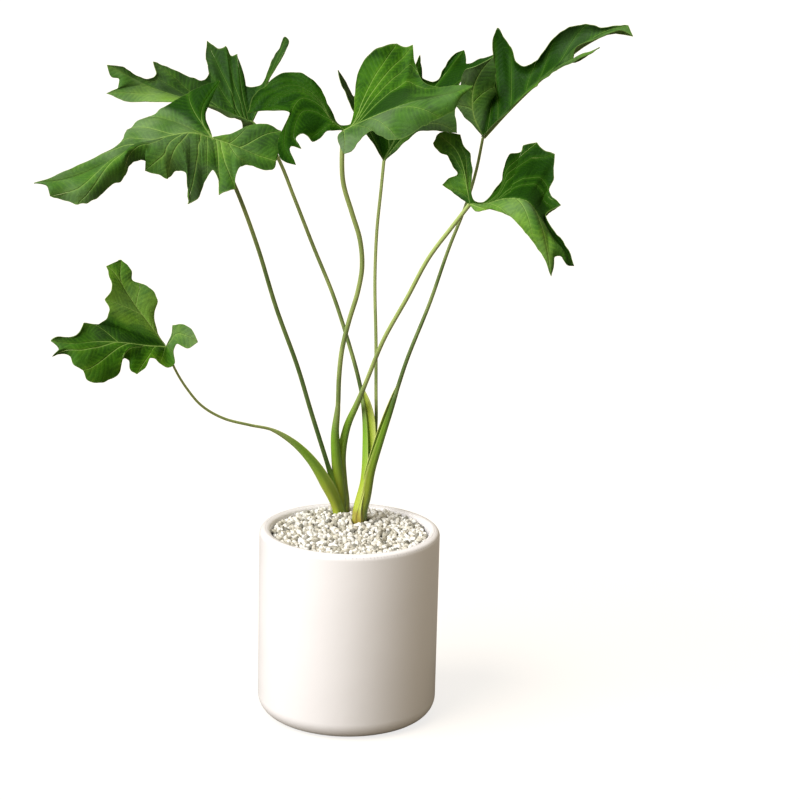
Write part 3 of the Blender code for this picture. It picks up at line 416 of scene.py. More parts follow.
              (448, 157, -23, -0.65), (438, 151, -20, -0.8), tip(433, 143, -18, -0.9),
              (438, 134, -18, -1), tip(461, 134, -17, -0.8), (463, 144, -20, -0.65),
              (470, 154, -24, -0.55), (472, 170, -30, -0.4), (471, 190, -37, -0.15),
              (475, 201, -42, 0.025), (483, 202, -42, 0.075), (494, 190, -34, 0.125),
              (503, 178, -26, 0.2), (505, 164, -20, 0.25), (510, 154, -16, 0.275),
              (521, 151, -12, 0.3), tip(523, 145, -10, 0.3), tip(537, 142, -10, 0.35),
              (542, 149, -14, 0.375), tip(555, 154, -18, 0.4), (554, 168, -25, 0.45),
              (554, 180, -33, 0.5), (549, 190, -41, 0.525), tip(561, 205, -50, 0.575),
              (546, 215, -60, 0.625), (553, 229, -68, 0.7), (564, 242, -75, 0.85),
              (570, 252, -79, 0.925)],
        right_vein=[(478, 207, -56), (486, 210, -70)],
        right=[(473, 209, -50, -0.3), (478, 212, -60, -0.7), tip(486, 210, -70, -1),
               (493, 210, -64, -0.5), (503, 213, -66, 0.06), (511, 217, -73, 0.16),
               (522, 228, -80, 0.3), (534, 243, -87, 0.44), (544, 258, -91, 0.56),
               tip(551, 277, -93, 0.66), (553, 264, -89, 0.72), (554, 257, -87, 0.78),
               (562, 256, -84, 0.84), (567, 265, -84, 0.93)],
        bows=((0, 2, 0), (0, 6, -2), (0, -5, 4), (0, 0, 0)),
        tones=(0.45, -0.7, 0.9, 0.9, 0.0), bloom=(0.1, 0, 0.6, 0.5, 0.1),
        pull=(0.25, 0.8), ribs=(0.4, 0.6, 0.9, 0.8)),
    "left_low": dict(
        midrib=[(166, 347, -30), (148, 346, -38), (124, 343, -50), (97, 342, -61),
                (73, 344, -71), (51, 341, -77)],
        left_vein=[(171, 341, -34), (177, 334, -36), (187, 336, -39), (198, 342, -41)],
        left=[(168, 342, -32, -0.1), (172, 334, -33, -0.3), tip(173, 325, -32, -0.5),
              (180, 324, -33, -0.6), (191, 329, -37, -0.8), tip(198, 342, -41, -1),
              (187, 349, -44, -0.75), (177, 344, -42, -0.4), (174, 352, -42, -0.1),
              (175, 364, -46, 0), (167, 369, -52, 0), (160, 363, -52, 0.02), (155, 358, -52, 0.06),
              (150, 358, -54, 0.08), (146, 367, -58, 0.11), tip(137, 374, -64, 0.15),
              (131, 371, -64, 0.19), (129, 361, -60, 0.22), (125, 358, -61, 0.25),
              (121, 362, -66, 0.29), (119, 373, -70, 0.34), (109, 379, -74, 0.425),
              (96, 382, -80, 0.5), (87, 379, -82, 0.55), tip(83, 371, -82, 0.6),
              (76, 366, -82, 0.65), (70, 357, -80, 0.725), (62, 354, -80, 0.775),
              tip(52, 357, -84, 0.825), (58, 350, -80, 0.9)],
        right_vein=[(150, 325, -20), (133, 302, -13), (121, 281, -8), (121, 260, 0)],
        right=[(157, 331, -18, -0.15), (154, 314, -12, -0.3), (157, 300, -8, -0.42),
               (151, 289, -6, -0.52), (140, 283, -4, -0.62), (132, 279, -3, -0.74),
               (131, 270, -2, -0.86), tip(121, 260, 0, -1), tip(106, 266, -6, -0.93),
               (110, 277, -12, -0.8), (111, 289, -20, -0.66), tip(105, 299, -27, -0.5),
               (109, 311, -35, -0.3), (105, 320, -41, -0.05), (92, 325, -49, 0.4),
               tip(83, 323, -57, 0.55), (79, 331, -63, 0.68), (68, 338, -69, 0.82),
               (56, 337, -75, 0.93)],
        bows=((0, 0, 0), (0, -6, 4), (0, 6, 3), (0, 0, 0)),
        tones=(0.65, 0.5, 0.35, 0.8, 0.6), bloom=(0.8, 0.0, 0.05, 0.3, 0.3),
        pull=(0.55, 0.8), ribs=(0.8, 0.8, 0.8, 0.9)),
}


class Line:
    """A smooth line through points. At a corner it turns sharply."""

    def __init__(self, points, corners=()):
        self.points = np.array([tuple(point) for point in points])
        steps = np.linalg.norm(np.diff(self.points, axis=0), axis=1)
        self.marks = np.concatenate([[0], np.cumsum(steps)])
        self.length = self.marks[-1]
        slopes = np.diff(self.points, axis=0) / steps[:, None]
        weights = steps[:, None]
        middle = slopes[:-1] * weights[1:] + slopes[1:] * weights[:-1]
        middle /= weights[1:] + weights[:-1]
        self.slopes_out = np.vstack([slopes[:1], middle, slopes[-1:]])
        self.slopes_in = self.slopes_out.copy()
        for index in np.flatnonzero(corners):
            if 0 < index < len(slopes):
                self.slopes_in[index] = slopes[index - 1]
                self.slopes_out[index] = slopes[index]

    def at(self, mark):
        """The point that lies mark metres along the line."""
        index = int(np.clip(np.searchsorted(self.marks, mark) - 1, 0, len(self.marks) - 2))
        span = self.marks[index + 1] - self.marks[index]
        t = np.clip((mark - self.marks[index]) / span, 0, 1)
        start, end = self.points[index], self.points[index + 1]
        out, into = self.slopes_out[index] * span, self.slopes_in[index + 1] * span
        return (
            (2 * t**3 - 3 * t**2 + 1) * start
            + (t**3 - 2 * t**2 + t) * out
            + (3 * t**2 - 2 * t**3) * end
            + (t**3 - t**2) * into
        )

    def part_way(self, share):
        """The point that lies at a share of the line's length."""
        return self.at(share * self.length)


def eye_axes():
    """Right, up and forward of the front view's eye."""
    right = Vector((1, 0, 0))
    forward = Vector((0, math.cos(EYE_PITCH), -math.sin(EYE_PITCH)))
    up = right.cross(forward)
    across = right * math.cos(EYE_ROLL) + up * math.sin(EYE_ROLL)
    upward = up * math.cos(EYE_ROLL) - right * math.sin(EYE_ROLL)
    return across, upward, forward


def placed(x, y, back):
    """The point that shows at (x, y) in the front view and lies back mm behind the pot's axis."""
    across, upward, forward = eye_axes()
    ray = across * (x - VIEW_CENTRE) - upward * (y - VIEW_CENTRE) + forward * EYE_FOCUS
    return EYE + ray * ((back * MM - EYE.y) / ray.y)


def share_of(slot):
    """How far along its vein a row's slot lies: -1 is the lobe's end, 1 is the tip."""
    return slot / (LOBE_SLOTS if slot < 0 else MIDRIB_SLOTS)


def arch(share):
    """0 at both ends of a stretch and 1 in its middle."""
    return 4 * share * (1 - share)


class Side:
    """One edge of a blade with the veins that it hangs from: a base lobe's and the midrib.

    Rows of the blade start at evenly spaced slots on the veins: 0 at the stalk, positive ones on
    the midrib, negative ones on the base lobe's vein.
    """

    def __init__(self, blade, name):
        start, end = blade["midrib"][0], blade["midrib"][-1]
        stations = [tip(*start, 0), *blade[name], tip(*end, 1)]
        self.tips = ["pointed" in station for station in stations]
        self.edge = Line([placed(*station[:3]) for station in stations], self.tips)
        self.midrib = Line([placed(*spot) for spot in blade["midrib"]])
        self.lobe_vein = Line([placed(*spot) for spot in [start] + blade[f"{name}_vein"]])
        self.slots = [self.slot(station[3]) for station in stations]
        left_lobe, left_half, right_half, right_lobe = np.array(blade["bows"]) * MM
        self.bows = (left_lobe, left_half) if name == "left" else (right_lobe, right_half)

    @staticmethod
    def slot(share):
        """The slot nearest to a share of the vein."""
        return round(share * (LOBE_SLOTS if share < 0 else MIDRIB_SLOTS))

    def root(self, slot):
        """The point of the vein where the blade's row of that slot starts."""
        share = share_of(slot)
        return self.lobe_vein.part_way(-share) if slot < 0 else self.midrib.part_way(share)

    def columns(self):
        """Slots and edge marks, close together all round the edge, and where the stations are."""
        slots, marks, stations = [0], [0.0], [0]
        spans = zip(self.slots, self.slots[1:], self.edge.marks, self.edge.marks[1:])
        for start, end, low, high in spans:
            count = max(1, math.ceil((high - low) / EDGE_STEP), abs(end - start))
            for step in range(1, count + 1):
                slots.append(round(start + (end - start) * step / count))
                marks.append(low + (high - low) * step / count)
            stations.append(len(slots) - 1)
        return slots, marks, stations

    def row(self, slot, mark, steps, frill):
        """Points from a vein out to the frilled edge, swelled by the bow of that part."""
        root, rim = self.root(slot), self.edge.at(mark)
        bow = self.bows[0 if slot < 0 else 1] * arch(abs(share_of(slot)))
        reach = np.linalg.norm(rim - root)
        edge_length = self.edge.length
        wave = noise.noise(Vector((mark * EDGE_WAVES, edge_length * EDGE_DIFFERENCE, 0)))
        ease = min(1, mark / EDGE_EASE, (edge_length - mark) / EDGE_EASE)
        stretch = frill * wave * ease / max(reach, SHORT_ROW)
        steps = steps * (1 + stretch * steps**2)
        return root + (rim - root) * steps[:, None] + bow * arch(steps)[:, None]


def deselect():
    """Leaves edit mode and selects nothing."""
    if bpy.context.object and bpy.context.object.mode != "OBJECT":
        bpy.ops.object.mode_set(mode="OBJECT")
    bpy.ops.object.select_all(action="DESELECT")


def only(piece):
    """Selects one piece and makes it the active one."""
    deselect()
    piece.select_set(True)
    bpy.context.view_layer.objects.active = piece


@contextmanager
def editing(piece):
    """Edit mode on one piece, with all of it selected."""
    only(piece)
    bpy.ops.object.mode_set(mode="EDIT")
    bpy.ops.mesh.select_all(action="SELECT")
    yield
    bpy.ops.object.mode_set(mode="OBJECT")


def choose(piece, kind, test):
    """In edit mode, selects only the faces or edges all of whose corners pass the test."""
    bpy.ops.mesh.select_mode(type=kind)
    bpy.ops.mesh.select_all(action="DESELECT")
    bpy.ops.object.mode_set(mode="OBJECT")
    mesh = piece.data
    for part in mesh.polygons if kind == "FACE" else mesh.edges:
        part.select = all(test(mesh.vertices[index].co) for index in part.vertices)
    bpy.ops.object.mode_set(mode="EDIT")


def apply_modifier(piece, kind, **settings):
    """Adds a modifier to the piece and applies it."""
    only(piece)
    modifier = piece.modifiers.new(kind.lower(), kind)
    for key, value in settings.items():
        setattr(modifier, key, value)
    bpy.ops.object.modifier_apply(modifier=modifier.name)


def joined(name, pieces):
    """The pieces as one object, which is left selected and active."""
    only(pieces[0])
    for piece in pieces[1:]:
        piece.select_set(True)
    bpy.ops.object.join()
    pieces[0].name = name
    pieces[0].data.name = name
    return pieces[0]


def finished(piece, slot, *nodes):
    """Puts a piece in the model in place of CAD nodes."""
    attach(piece, BODY)
    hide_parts(*nodes)


def vectors_of(mesh, kind):
    """The vertices' places ("co") or normals ("normal"), one to a row."""
    vectors = np.empty(len(mesh.vertices) * 3)
    mesh.vertices.foreach_get(kind, vectors)
    return vectors.reshape(-1, 3)


def move_to(mesh, spots):
    """Moves the vertices to these places."""
    mesh.vertices.foreach_set("co", np.ascontiguousarray(spots).ravel())
    mesh.update()


def draped_grid(name, points, **values):
    """A grid primitive whose vertices are moved to points, an array of columns of rows.

    values are one number for each of them or for all, which the material reads by name.
    """
    columns, rows = points.shape[:2]
    deselect()
    bpy.ops.mesh.primitive_grid_add(x_subdivisions=columns - 1, y_subdivisions=rows - 1, size=1)
    piece = bpy.context.object
    piece.name = name
    flat = vectors_of(piece.data, "co")
    order = np.lexsort((flat[:, 1].round(5), flat[:, 0].round(5)))
    spots = np.empty_like(flat)
    spots[order] = points.reshape(-1, 3)
    move_to(piece.data, spots)
    for key, value in values.items():
        numbers = np.empty(len(order))
        numbers[order] = np.broadcast_to(value, (columns, rows)).ravel()
        point_values(piece, key, numbers)
    return piece


def point_values(piece, name, numbers):
    """Stores one number for each vertex, which the piece's material reads by name."""
    stored = piece.data.attributes.new(name, "FLOAT", "POINT")
    stored.data.foreach_set("value", np.ascontiguousarray(numbers, dtype=np.float32))


def weld(piece):
    """Joins corners that lie at one place, and takes out faces that have no size."""
    with editing(piece):
        bpy.ops.mesh.remove_doubles(threshold=WELD_REACH)
        bpy.ops.mesh.dissolve_degenerate(threshold=WELD_REACH / 4)


def tube(name, centres, radii, sides, upward, section=1, **values):
    """A closed tube round a line of centres.

    upward is the way that its upper side faces. section holds, for each station and each angle
    from that side, the factor that the radius is multiplied by there. values are as for a grid.
    """
    centres = np.asarray(centres)
    heading = np.gradient(centres, axis=0)
    heading /= np.linalg.norm(heading, axis=1)[:, None]
    top = upward - (upward * heading).sum(1)[:, None] * heading
    top /= np.linalg.norm(top, axis=1)[:, None]
    beside = np.cross(heading, top)
    angles = np.linspace(0, -math.tau, sides + 1)
    reach = np.broadcast_to(np.asarray(radii)[:, None] * section, (len(centres), sides + 1))
    points = centres[:, None] + reach[..., None] * (
        np.cos(angles)[None, :, None] * top[:, None]
        + np.sin(angles)[None, :, None] * beside[:, None])
    start, stop = (np.broadcast_to(centres[end], (1, sides + 1, 3)) for end in (0, -1))
    points = np.concatenate([start, points, stop])
    for key, value in values.items():
        rows = np.broadcast_to(value, reach.shape)
        values[key] = np.concatenate([rows[:1], rows, rows[-1:]])
    return draped_grid(name, points, **values)


def stretch_map(piece, name, marks):
    """Renames the grid's UV map and gives its first number in metres along the piece."""
    layer = piece.data.uv_layers[0]
    layer.name = name
    pairs = np.empty(len(piece.data.loops) * 2)
    layer.data.foreach_get("uv", pairs)
    pairs[::2] = np.interp(pairs[::2] * (len(marks) - 1), range(len(marks)), marks)
    layer.data.foreach_set("uv", pairs)


class Recipe:
    """A material, or the room, made of nodes that are added one by one."""

    def __init__(self, owner, shader="Principled BSDF", **constants):
        self.owner = owner
        owner.use_nodes = True
        self.tree = owner.node_tree
        self.shader = self.tree.nodes[shader]
        for socket, value in constants.items():
            socket = socket.replace("_", " ").title().replace("Ior", "IOR")
            self.shader.inputs[socket].default_value = value

    def add(self, kind, inputs, **settings):
        """A new node. inputs are (socket, value or other node's output) pairs."""
        made = self.tree.nodes.new(kind)
        for key, value in settings.items():
            setattr(made, key, value)
        for socket, value in inputs:
            if isinstance(value, bpy.types.NodeSocket):
                self.tree.links.new(value, made.inputs[socket])
            else:
                made.inputs[socket].default_value = value
        return made

    def maths(self, operation, *values):
        return self.add("ShaderNodeMath", enumerate(values), operation=operation).outputs[0]

    def times(self, first, second):
        return self.maths("MULTIPLY", first, second)

    def plus(self, first, second):
        return self.maths("ADD", first, second)

    def place(self):
        """The place on the object."""
        return self.add("ShaderNodeTexCoord", ()).outputs["Object"]

    def pair(self, name):
        """The two numbers of one of the piece's own UV maps."""
        made = self.add("ShaderNodeUVMap", (), uv_map=name)
        split = self.add("ShaderNodeSeparateXYZ", [(0, made.outputs[0])])
        return split.outputs[0], split.outputs[1]

    def value(self, name):
        """The number that is stored for each vertex under this name."""
        return self.add("ShaderNodeAttribute", (), attribute_name=name).outputs["Fac"]

    def noise(self, scale, detail=2, place=None, roughness=0.5):
        """Cloudy noise, with scale clouds to the metre."""
        inputs = [("Vector", place or self.place()), ("Scale", scale), ("Detail", detail),
                  ("Roughness", roughness)]
        return self.add("ShaderNodeTexNoise", inputs).outputs[0]

    def cells(self, scale, feature="F1"):
        """Distance in a pattern of cells: from a cell's middle, or from its edge."""
        inputs = [("Vector", self.place()), ("Scale", scale)]
        return self.add("ShaderNodeTexVoronoi", inputs, feature=feature).outputs["Distance"]

    def spread(self, value, low, high, start=0.0, end=1.0):
        """A number that goes smoothly from start to end while value goes from low to high."""
        inputs = [("Value", value), ("From Min", low), ("From Max", high), ("To Min", start),
                  ("To Max", end)]
        made = self.add("ShaderNodeMapRange", inputs, interpolation_type="SMOOTHSTEP")
        return made.outputs[0]

    def mix(self, share, first, second, way="MIX"):
        """Two colours mixed, with this share of the second."""
        made = self.add("ShaderNodeMix", (), data_type="RGBA", blend_type=way)
        for socket, value in (("Factor_Float", share), ("A_Color", first), ("B_Color", second)):
            target = next(item for item in made.inputs if item.identifier == socket)
            if isinstance(value, bpy.types.NodeSocket):
                self.tree.links.new(value, target)
            elif socket == "Factor_Float":
                target.default_value = value
            else:
                target.default_value = (*value, 1)
        return next(item for item in made.outputs if item.identifier == "Result_Color")

    def finish(self, colour, roughness=None, height=None, relief=0.0):
        """Links the finished colour, roughness and relief (in metres) to the shader."""
        self.tree.links.new(colour, self.shader.inputs["Base Color"])
        if roughness:
            self.tree.links.new(roughness, self.shader.inputs["Roughness"])
        if height:
            bump = self.add("ShaderNodeBump", [("Height", height), ("Distance", relief)])
            self.tree.links.new(bump.outputs[0], self.shader.inputs["Normal"])
        return self.owner


def material_recipe(name, **constants):
    """The recipe of a new material. The constants are set on the shader's sockets."""
    return Recipe(bpy.data.materials.new(name), **constants)


def dimmed(colour, share):
    """The colour with each of its parts multiplied by share."""
    return tuple(part * share for part in colour)


def glaze_material(settings):
    """Satin white glaze: a little uneven in tone and gloss, faintly dimpled."""
    recipe = material_recipe("white_glaze", coat_weight=0.25, coat_roughness=0.12)
    cloud = recipe.spread(recipe.noise(9, 3), 0.35, 0.7)
    colour = recipe.mix(cloud, settings.glaze, dimmed(settings.glaze, 0.97))
    pinhole = recipe.spread(recipe.cells(420), 0.02, 0.10)
    pits = recipe.times(recipe.maths("SUBTRACT", 1, pinhole), 0.06)
    colour = recipe.mix(pits, colour, (0.45, 0.40, 0.33))
    roughness = recipe.spread(recipe.noise(30, 2), 0.3, 0.7, 0.30, 0.42)
    height = recipe.plus(recipe.noise(140, 2), recipe.times(cloud, 2))
    return recipe.finish(colour, roughness, height, 0.08 * MM)


def mix_material():
    """Dark damp potting mix with bark bits."""
    recipe = material_recipe("potting_soil")
    bits = recipe.cells(260)
    colour = recipe.mix(recipe.spread(bits, 0.1, 0.6), (0.09, 0.05, 0.025), (0.018, 0.011, 0.007))
    colour = recipe.mix(recipe.spread(recipe.noise(120, 5), 0.4, 0.7), colour, (0.05, 0.032, 0.02))
    height = recipe.plus(bits, recipe.noise(500, 4))
    return recipe.finish(colour, recipe.spread(bits, 0, 1, 0.8, 1), height, 1.2 * MM)


def pebble_material(settings):
    """White and cream marble chips, each of its own shade, a few grey."""
    recipe = material_recipe("marble_chips")
    shade = recipe.value("shade")
    colour = recipe.mix(recipe.spread(shade, 0.0, 0.28), settings.grey, settings.cream)
    colour = recipe.mix(recipe.spread(shade, 0.25, 0.8), colour, settings.white)
    veins = recipe.spread(recipe.noise(420, 5, roughness=0.7), 0.35, 0.75)
    colour = recipe.mix(recipe.times(veins, 0.35), colour, settings.grey)
    height = recipe.plus(recipe.noise(900, 4), veins)
    return recipe.finish(colour, recipe.spread(veins, 0, 1, 0.5, 0.75), height, 0.15 * MM)


def grit_material(settings):
    """The grit that shows between the pebbles: grainy grey, darker than any pebble as painted
    shade in the gaps.
    """
    recipe = material_recipe("fine_grit")
    # Painted shade: the grit's greys lie well below the pebbles' grey, so that the gaps look
    # shadowed.
    light, dark = dimmed(settings.grey, 0.8), dimmed(settings.grey, 0.3)
    grains = recipe.cells(700)
    colour = recipe.mix(recipe.spread(grains, 0.1, 0.7), light, dark)
    return recipe.finish(colour, recipe.spread(grains, 0, 1, 0.7, 0.95), grains, 0.8 * MM)


def stalk_material(settings):
    """Stalk skin: yellow-green at the foot, olive above, finely streaked along its length, with
    painted shade on its right flank.
    """
    recipe = material_recipe("stalk_skin", roughness=0.4)
    along, turn = recipe.pair("stalk")
    sheath = recipe.value("sheath")
    across = recipe.times(turn, STREAKS_ROUND)
    streak = recipe.add("ShaderNodeCombineXYZ", [(0, recipe.times(along, STREAKS)), (1, across)])
    streaks = recipe.noise(1, 3, streak.outputs[0])
    blotches = recipe.noise(38, 3)
    lift = recipe.plus(recipe.value("tone"), recipe.spread(blotches, 0.3, 0.7, -0.2, 0.2))
    colour = recipe.mix(recipe.spread(lift, 0, 1), settings.green, settings.olive)
    colour = recipe.mix(recipe.spread(sheath, 0.0, 0.4), colour, settings.sheath)
    colour = recipe.mix(recipe.spread(sheath, 0.4, 0.9), colour, settings.foot)
    colour = recipe.mix(recipe.spread(recipe.value("edge"), 0.2, 1), colour, settings.papery)
    lines = recipe.spread(streaks, 0.4, 0.7, 0, 0.22)
    colour = recipe.mix(lines, colour, settings.papery)
    # Painted shade: darker on the right flank, away from the main light, most on the sheath.
    painted_shade_flank = recipe.spread(recipe.value("painted_shade_flank"), -0.3, 0.8)
    shade = recipe.times(painted_shade_flank, recipe.plus(recipe.times(sheath, 0.75), 0.2))
    colour = recipe.mix(shade, colour, (0.22, 0.34, 0.12), way="MULTIPLY")
    brown = recipe.times(recipe.spread(sheath, 0.93, 1), recipe.spread(blotches, 0.35, 0.6))
    colour = recipe.mix(brown, colour, settings.brown)
    roughness = recipe.spread(streaks, 0.3, 0.7, 0.34, 0.5)
    return recipe.finish(colour, roughness, streaks, 0.25 * MM)


def leaf_material(name, settings, underside=False):
    """Leaf skin: pale main veins, side veins that leave them slantwise, and a fine net between.

    The upper side has painted light and shade by region, and a painted greyish sheen in patches.
    """
    recipe = material_recipe(name, specular_ior_level=0.03)
    along, away = recipe.pair("veins")
    ratio, reach = recipe.pair("reach")
    away, ratio = recipe.maths("ABSOLUTE", away), recipe.maths("ABSOLUTE", ratio)
    tone = recipe.value("tone")
    wobble = recipe.times(recipe.noise(45, 2), 0.9)
    slant = recipe.maths("SUBTRACT", along, recipe.times(away, settings.slant))
    pitch = settings.side_pitch
    steps = recipe.plus(recipe.maths("DIVIDE", slant, pitch), wobble)
    line = recipe.maths("PINGPONG", steps, 0.5)
    fade = recipe.spread(away, pitch * 5, pitch, 0.3, 1)
    side = recipe.times(recipe.spread(line, 0.13, 0.0), fade)
    swell = recipe.times(recipe.spread(line, 0.0, 0.45), fade)
    net = recipe.spread(recipe.cells(430, "DISTANCE_TO_EDGE"), 0.10, 0.0)
    main = recipe.spread(ratio, 0.85, 0.3)
    clouds = recipe.noise(26, 4, roughness=0.6)
    speckle = recipe.noise(240, 3)
    if underside:
        colour = recipe.mix(recipe.spread(clouds, 0.3, 0.7), settings.under, settings.under_dark)
        colour = recipe.mix(recipe.times(net, 0.25), colour, settings.vein)
        colour = recipe.mix(recipe.times(side, 0.5), colour, settings.vein)
        colour = recipe.mix(main, colour, settings.vein)
        roughness = recipe.spread(speckle, 0.3, 0.7, 0.5, 0.62)
        sign = -1.0
    else:
        # Painted light and shade: each region's tone darkens parts that should lie in shade and
        # lightens those that should look lit or lit through, on top of random clouds of colour.
        shift = recipe.spread(clouds, 0.25, 0.75, -0.38, 0.38)
        lift = recipe.plus(recipe.plus(tone, shift), recipe.times(swell, -0.10))
        colour = recipe.mix(recipe.spread(lift, 0.0, 0.5), settings.deep, settings.middle)
        colour = recipe.mix(recipe.spread(lift, 0.5, 1.0), colour, settings.fresh)
        colour = recipe.mix(recipe.spread(speckle, 0.4, 0.75, 0, 0.2), colour, settings.deep)
        pale = recipe.mix(recipe.spread(lift, 0.0, 0.8), settings.middle, settings.fresh)
        colour = recipe.mix(recipe.times(net, 0.12), colour, pale)
        colour = recipe.mix(recipe.times(side, 0.2), colour, pale)
        halo = recipe.spread(away, HALO, 0.5 * MM, 0, 0.4)
        colour = recipe.mix(halo, colour, pale)
        # Painted sheen: a greyish colour laid on in patches where a part should catch gloss.
        patches = recipe.spread(recipe.noise(34, 3), 0.3, 0.7, 0.15, 0.6)
        haze = recipe.times(recipe.value("bloom"), patches)
        colour = recipe.mix(haze, colour, settings.bloom)
        # The main veins are pale by the stalk, and fainter where the painted shade is deep.
        strength = recipe.spread(along, VEIN_PALES, 0.0, 0.28, 0.8)
        strength = recipe.times(strength, recipe.spread(tone, -0.3, 0.6, 0.45, 1))
        colour = recipe.mix(recipe.times(main, strength), colour, settings.vein)
        rim = recipe.spread(reach, RIM_START, 1.0, 0, 0.35)
        colour = recipe.mix(rim, colour, settings.vein)
        roughness = recipe.spread(speckle, 0.3, 0.7, 0.38, 0.52)
        sign = 1.0
    height = recipe.times(swell, 0.13 * sign)
    height = recipe.plus(height, recipe.spread(ratio, 0.2, 3.0, 0, 0.5 * sign))
    height = recipe.plus(height, recipe.times(net, -0.10 * sign))
    height = recipe.plus(height, recipe.times(clouds, 0.8))
    return recipe.finish(colour, roughness, height, 0.7 * MM)


def rib_material(settings):
    """The pale ribs under the main veins."""
    recipe = material_recipe("leaf_rib")
    blotches = recipe.noise(60, 3)
    colour = recipe.mix(recipe.spread(blotches, 0.3, 0.7), settings.vein, settings.rib_colour)
    roughness = recipe.spread(blotches, 0.3, 0.7, 0.38, 0.5)
    return recipe.finish(colour, roughness, blotches, 0.2 * MM)


def floor_material(settings):
    """A plain pale studio floor that is lit a little from within, so that shadows stay faint."""
    recipe = material_recipe("studio_floor", roughness=0.9, emission_strength=1.0,
                             emission_color=(*settings.glow, 1), specular_ior_level=0.0)
    cloud = recipe.spread(recipe.noise(0.6, 2), 0.3, 0.7)
    return recipe.finish(recipe.mix(cloud, settings.floor, dimmed(settings.floor, 0.985)))


def size_setting(name, description, default):
    return FloatProperty(name=name, description=description, default=default, min=0,
                         subtype="DISTANCE", unit="LENGTH")


def number_setting(name, description, default):
    return FloatProperty(name=name, description=description, default=default)


def colour_setting(name, description, default):
    return FloatVectorProperty(name=name, description=description, default=default, size=3,
                               min=0, max=1, subtype="COLOR")


class PotSettings(bpy.types.PropertyGroup):
    """Sizes and colour of the pot."""

    wall: size_setting("Wall", "Thickness of the pot's wall", 9.5 * MM)
    base: size_setting("Base", "Thickness of the pot's base", 12 * MM)
    foot_round: size_setting("Foot Rounding", "Radius of the lower outer edge", 15 * MM)
    inner_round: size_setting("Inner Rounding", "Radius of the inner corner", 8 * MM)
    glaze: colour_setting("Glaze", "Colour of the glaze", (0.63, 0.615, 0.625))


class PebbleSettings(bpy.types.PropertyGroup):
    """Sizes and colours of the pebbles."""

    size: size_setting("Pebble Size", "Typical size of a pebble", 4.9 * MM)
    pitch: size_setting("Spacing", "Distance between neighbours in a layer", 4.1 * MM)
    drop: size_setting("Bed Drop", "How far the grit lies under the top", 4.0 * MM)
    seed: IntProperty(name="Seed", description="Number that fixes how they lie", default=11)
    white: colour_setting("White", "Colour of the lightest pebbles", (0.72, 0.71, 0.68))
    cream: colour_setting("Cream", "Colour of the warmer pebbles", (0.44, 0.41, 0.33))
    grey: colour_setting("Grey", "Colour of the greyest pebbles", (0.15, 0.145, 0.12))


class StalkSettings(bpy.types.PropertyGroup):
    """Sizes and colours of the stalks."""

    crown: size_setting("Crown Radius", "Radius of a crown above the pebbles", 6.6 * MM)
    groove: number_setting("Groove", "Depth of the groove as a share of the radius", 0.16)
    flap: size_setting("Flap Thickness", "Thickness of a sheath's papery flap", 0.5 * MM)
    green: colour_setting("Dark Green", "Green of the darkest stalks", (0.030, 0.090, 0.013))
    olive: colour_setting("Olive", "Olive of the lightest stalks", (0.28, 0.36, 0.11))
    sheath: colour_setting("Sheath", "Fresh green of the sheaths", (0.15, 0.31, 0.012))
    foot: colour_setting("Foot", "Yellow-green of the sheaths' feet", (0.29, 0.36, 0.018))
    brown: colour_setting("Base", "Yellow-brown of the very base", (0.25, 0.20, 0.03))
    papery: colour_setting("Papery", "Pale streaks and papery edges", (0.40, 0.45, 0.12))


class LeafSettings(bpy.types.PropertyGroup):
    """Sizes and colours of the leaf blades."""

    thickness: size_setting("Thickness", "Thickness of a blade", 0.55 * MM)
    swell: size_setting("Quilting", "How far a blade swells between its main veins", 0.8 * MM)
    ripple: size_setting("Ripple", "How far a blade's rim ripples", 1.3 * MM)
    frill: size_setting("Frill", "How far a blade's edge goes in and out", 1.1 * MM)
    vein_gap: size_setting("Vein Gap", "Least distance between veins along the edge", 24 * MM)
    rib: size_setting("Rib Radius", "Radius of the midrib at the stalk", 1.35 * MM)
    side_pitch: size_setting("Side Veins", "Distance between side veins", 4.2 * MM)
    slant: number_setting("Slant", "How far a side vein runs forward as it leaves its vein", 0.8)
    # The upper side's painted light and shade goes between these three greens.
    deep: colour_setting("Deep Green", "Darkest green of the upper side", (0.005, 0.028, 0.0005))
    middle: colour_setting("Middle Green", "Middle green of the upper side", (0.025, 0.092, 0.002))
    fresh: colour_setting("Fresh Green", "Lightest green of the upper side", (0.095, 0.205, 0.010))
    # Painted sheen: a greyish colour that stands in for gloss.
    bloom: colour_setting("Painted Sheen", "Greyish sheen on some parts", (0.17, 0.24, 0.13))
    vein: colour_setting("Veins", "Colour of the main veins", (0.19, 0.29, 0.07))
    rib_colour: colour_setting("Ribs", "Colour of the ribs underneath", (0.15, 0.26, 0.05))
    under: colour_setting("Underside", "Green of the underside", (0.075, 0.16, 0.028))
    under_dark: colour_setting("Dark Underside", "Patches of the underside", (0.045, 0.11, 0.018))


class StageSettings(bpy.types.PropertyGroup):
    """Floor, light and camera."""

    reach: size_setting("Floor", "Side of the floor", 60)
    floor: colour_setting("Floor Colour", "Colour of the floor", (0.20, 0.18, 0.15))
    glow: colour_setting("Floor Glow", "Light that the floor gives by itself", (0.78, 0.775, 0.77))
    key: number_setting("Key Light", "Strength of the main light", 6.0)
    sky: number_setting("Room Light", "Strength of the light from above", 0.9)
    sky_colour: colour_setting("Room Light Colour", "Colour of the light from above",
                               (1, 0.93, 0.80))
    haze: number_setting("Side Light", "Strength of the light from all round", 0.35)
    haze_colour: colour_setting("Side Light Colour", "Colour of the light from all round",
                                (1, 0.75, 0.36))


class PieceOperator:
    """What the operators share."""

    bl_options = {"REGISTER", "UNDO"}


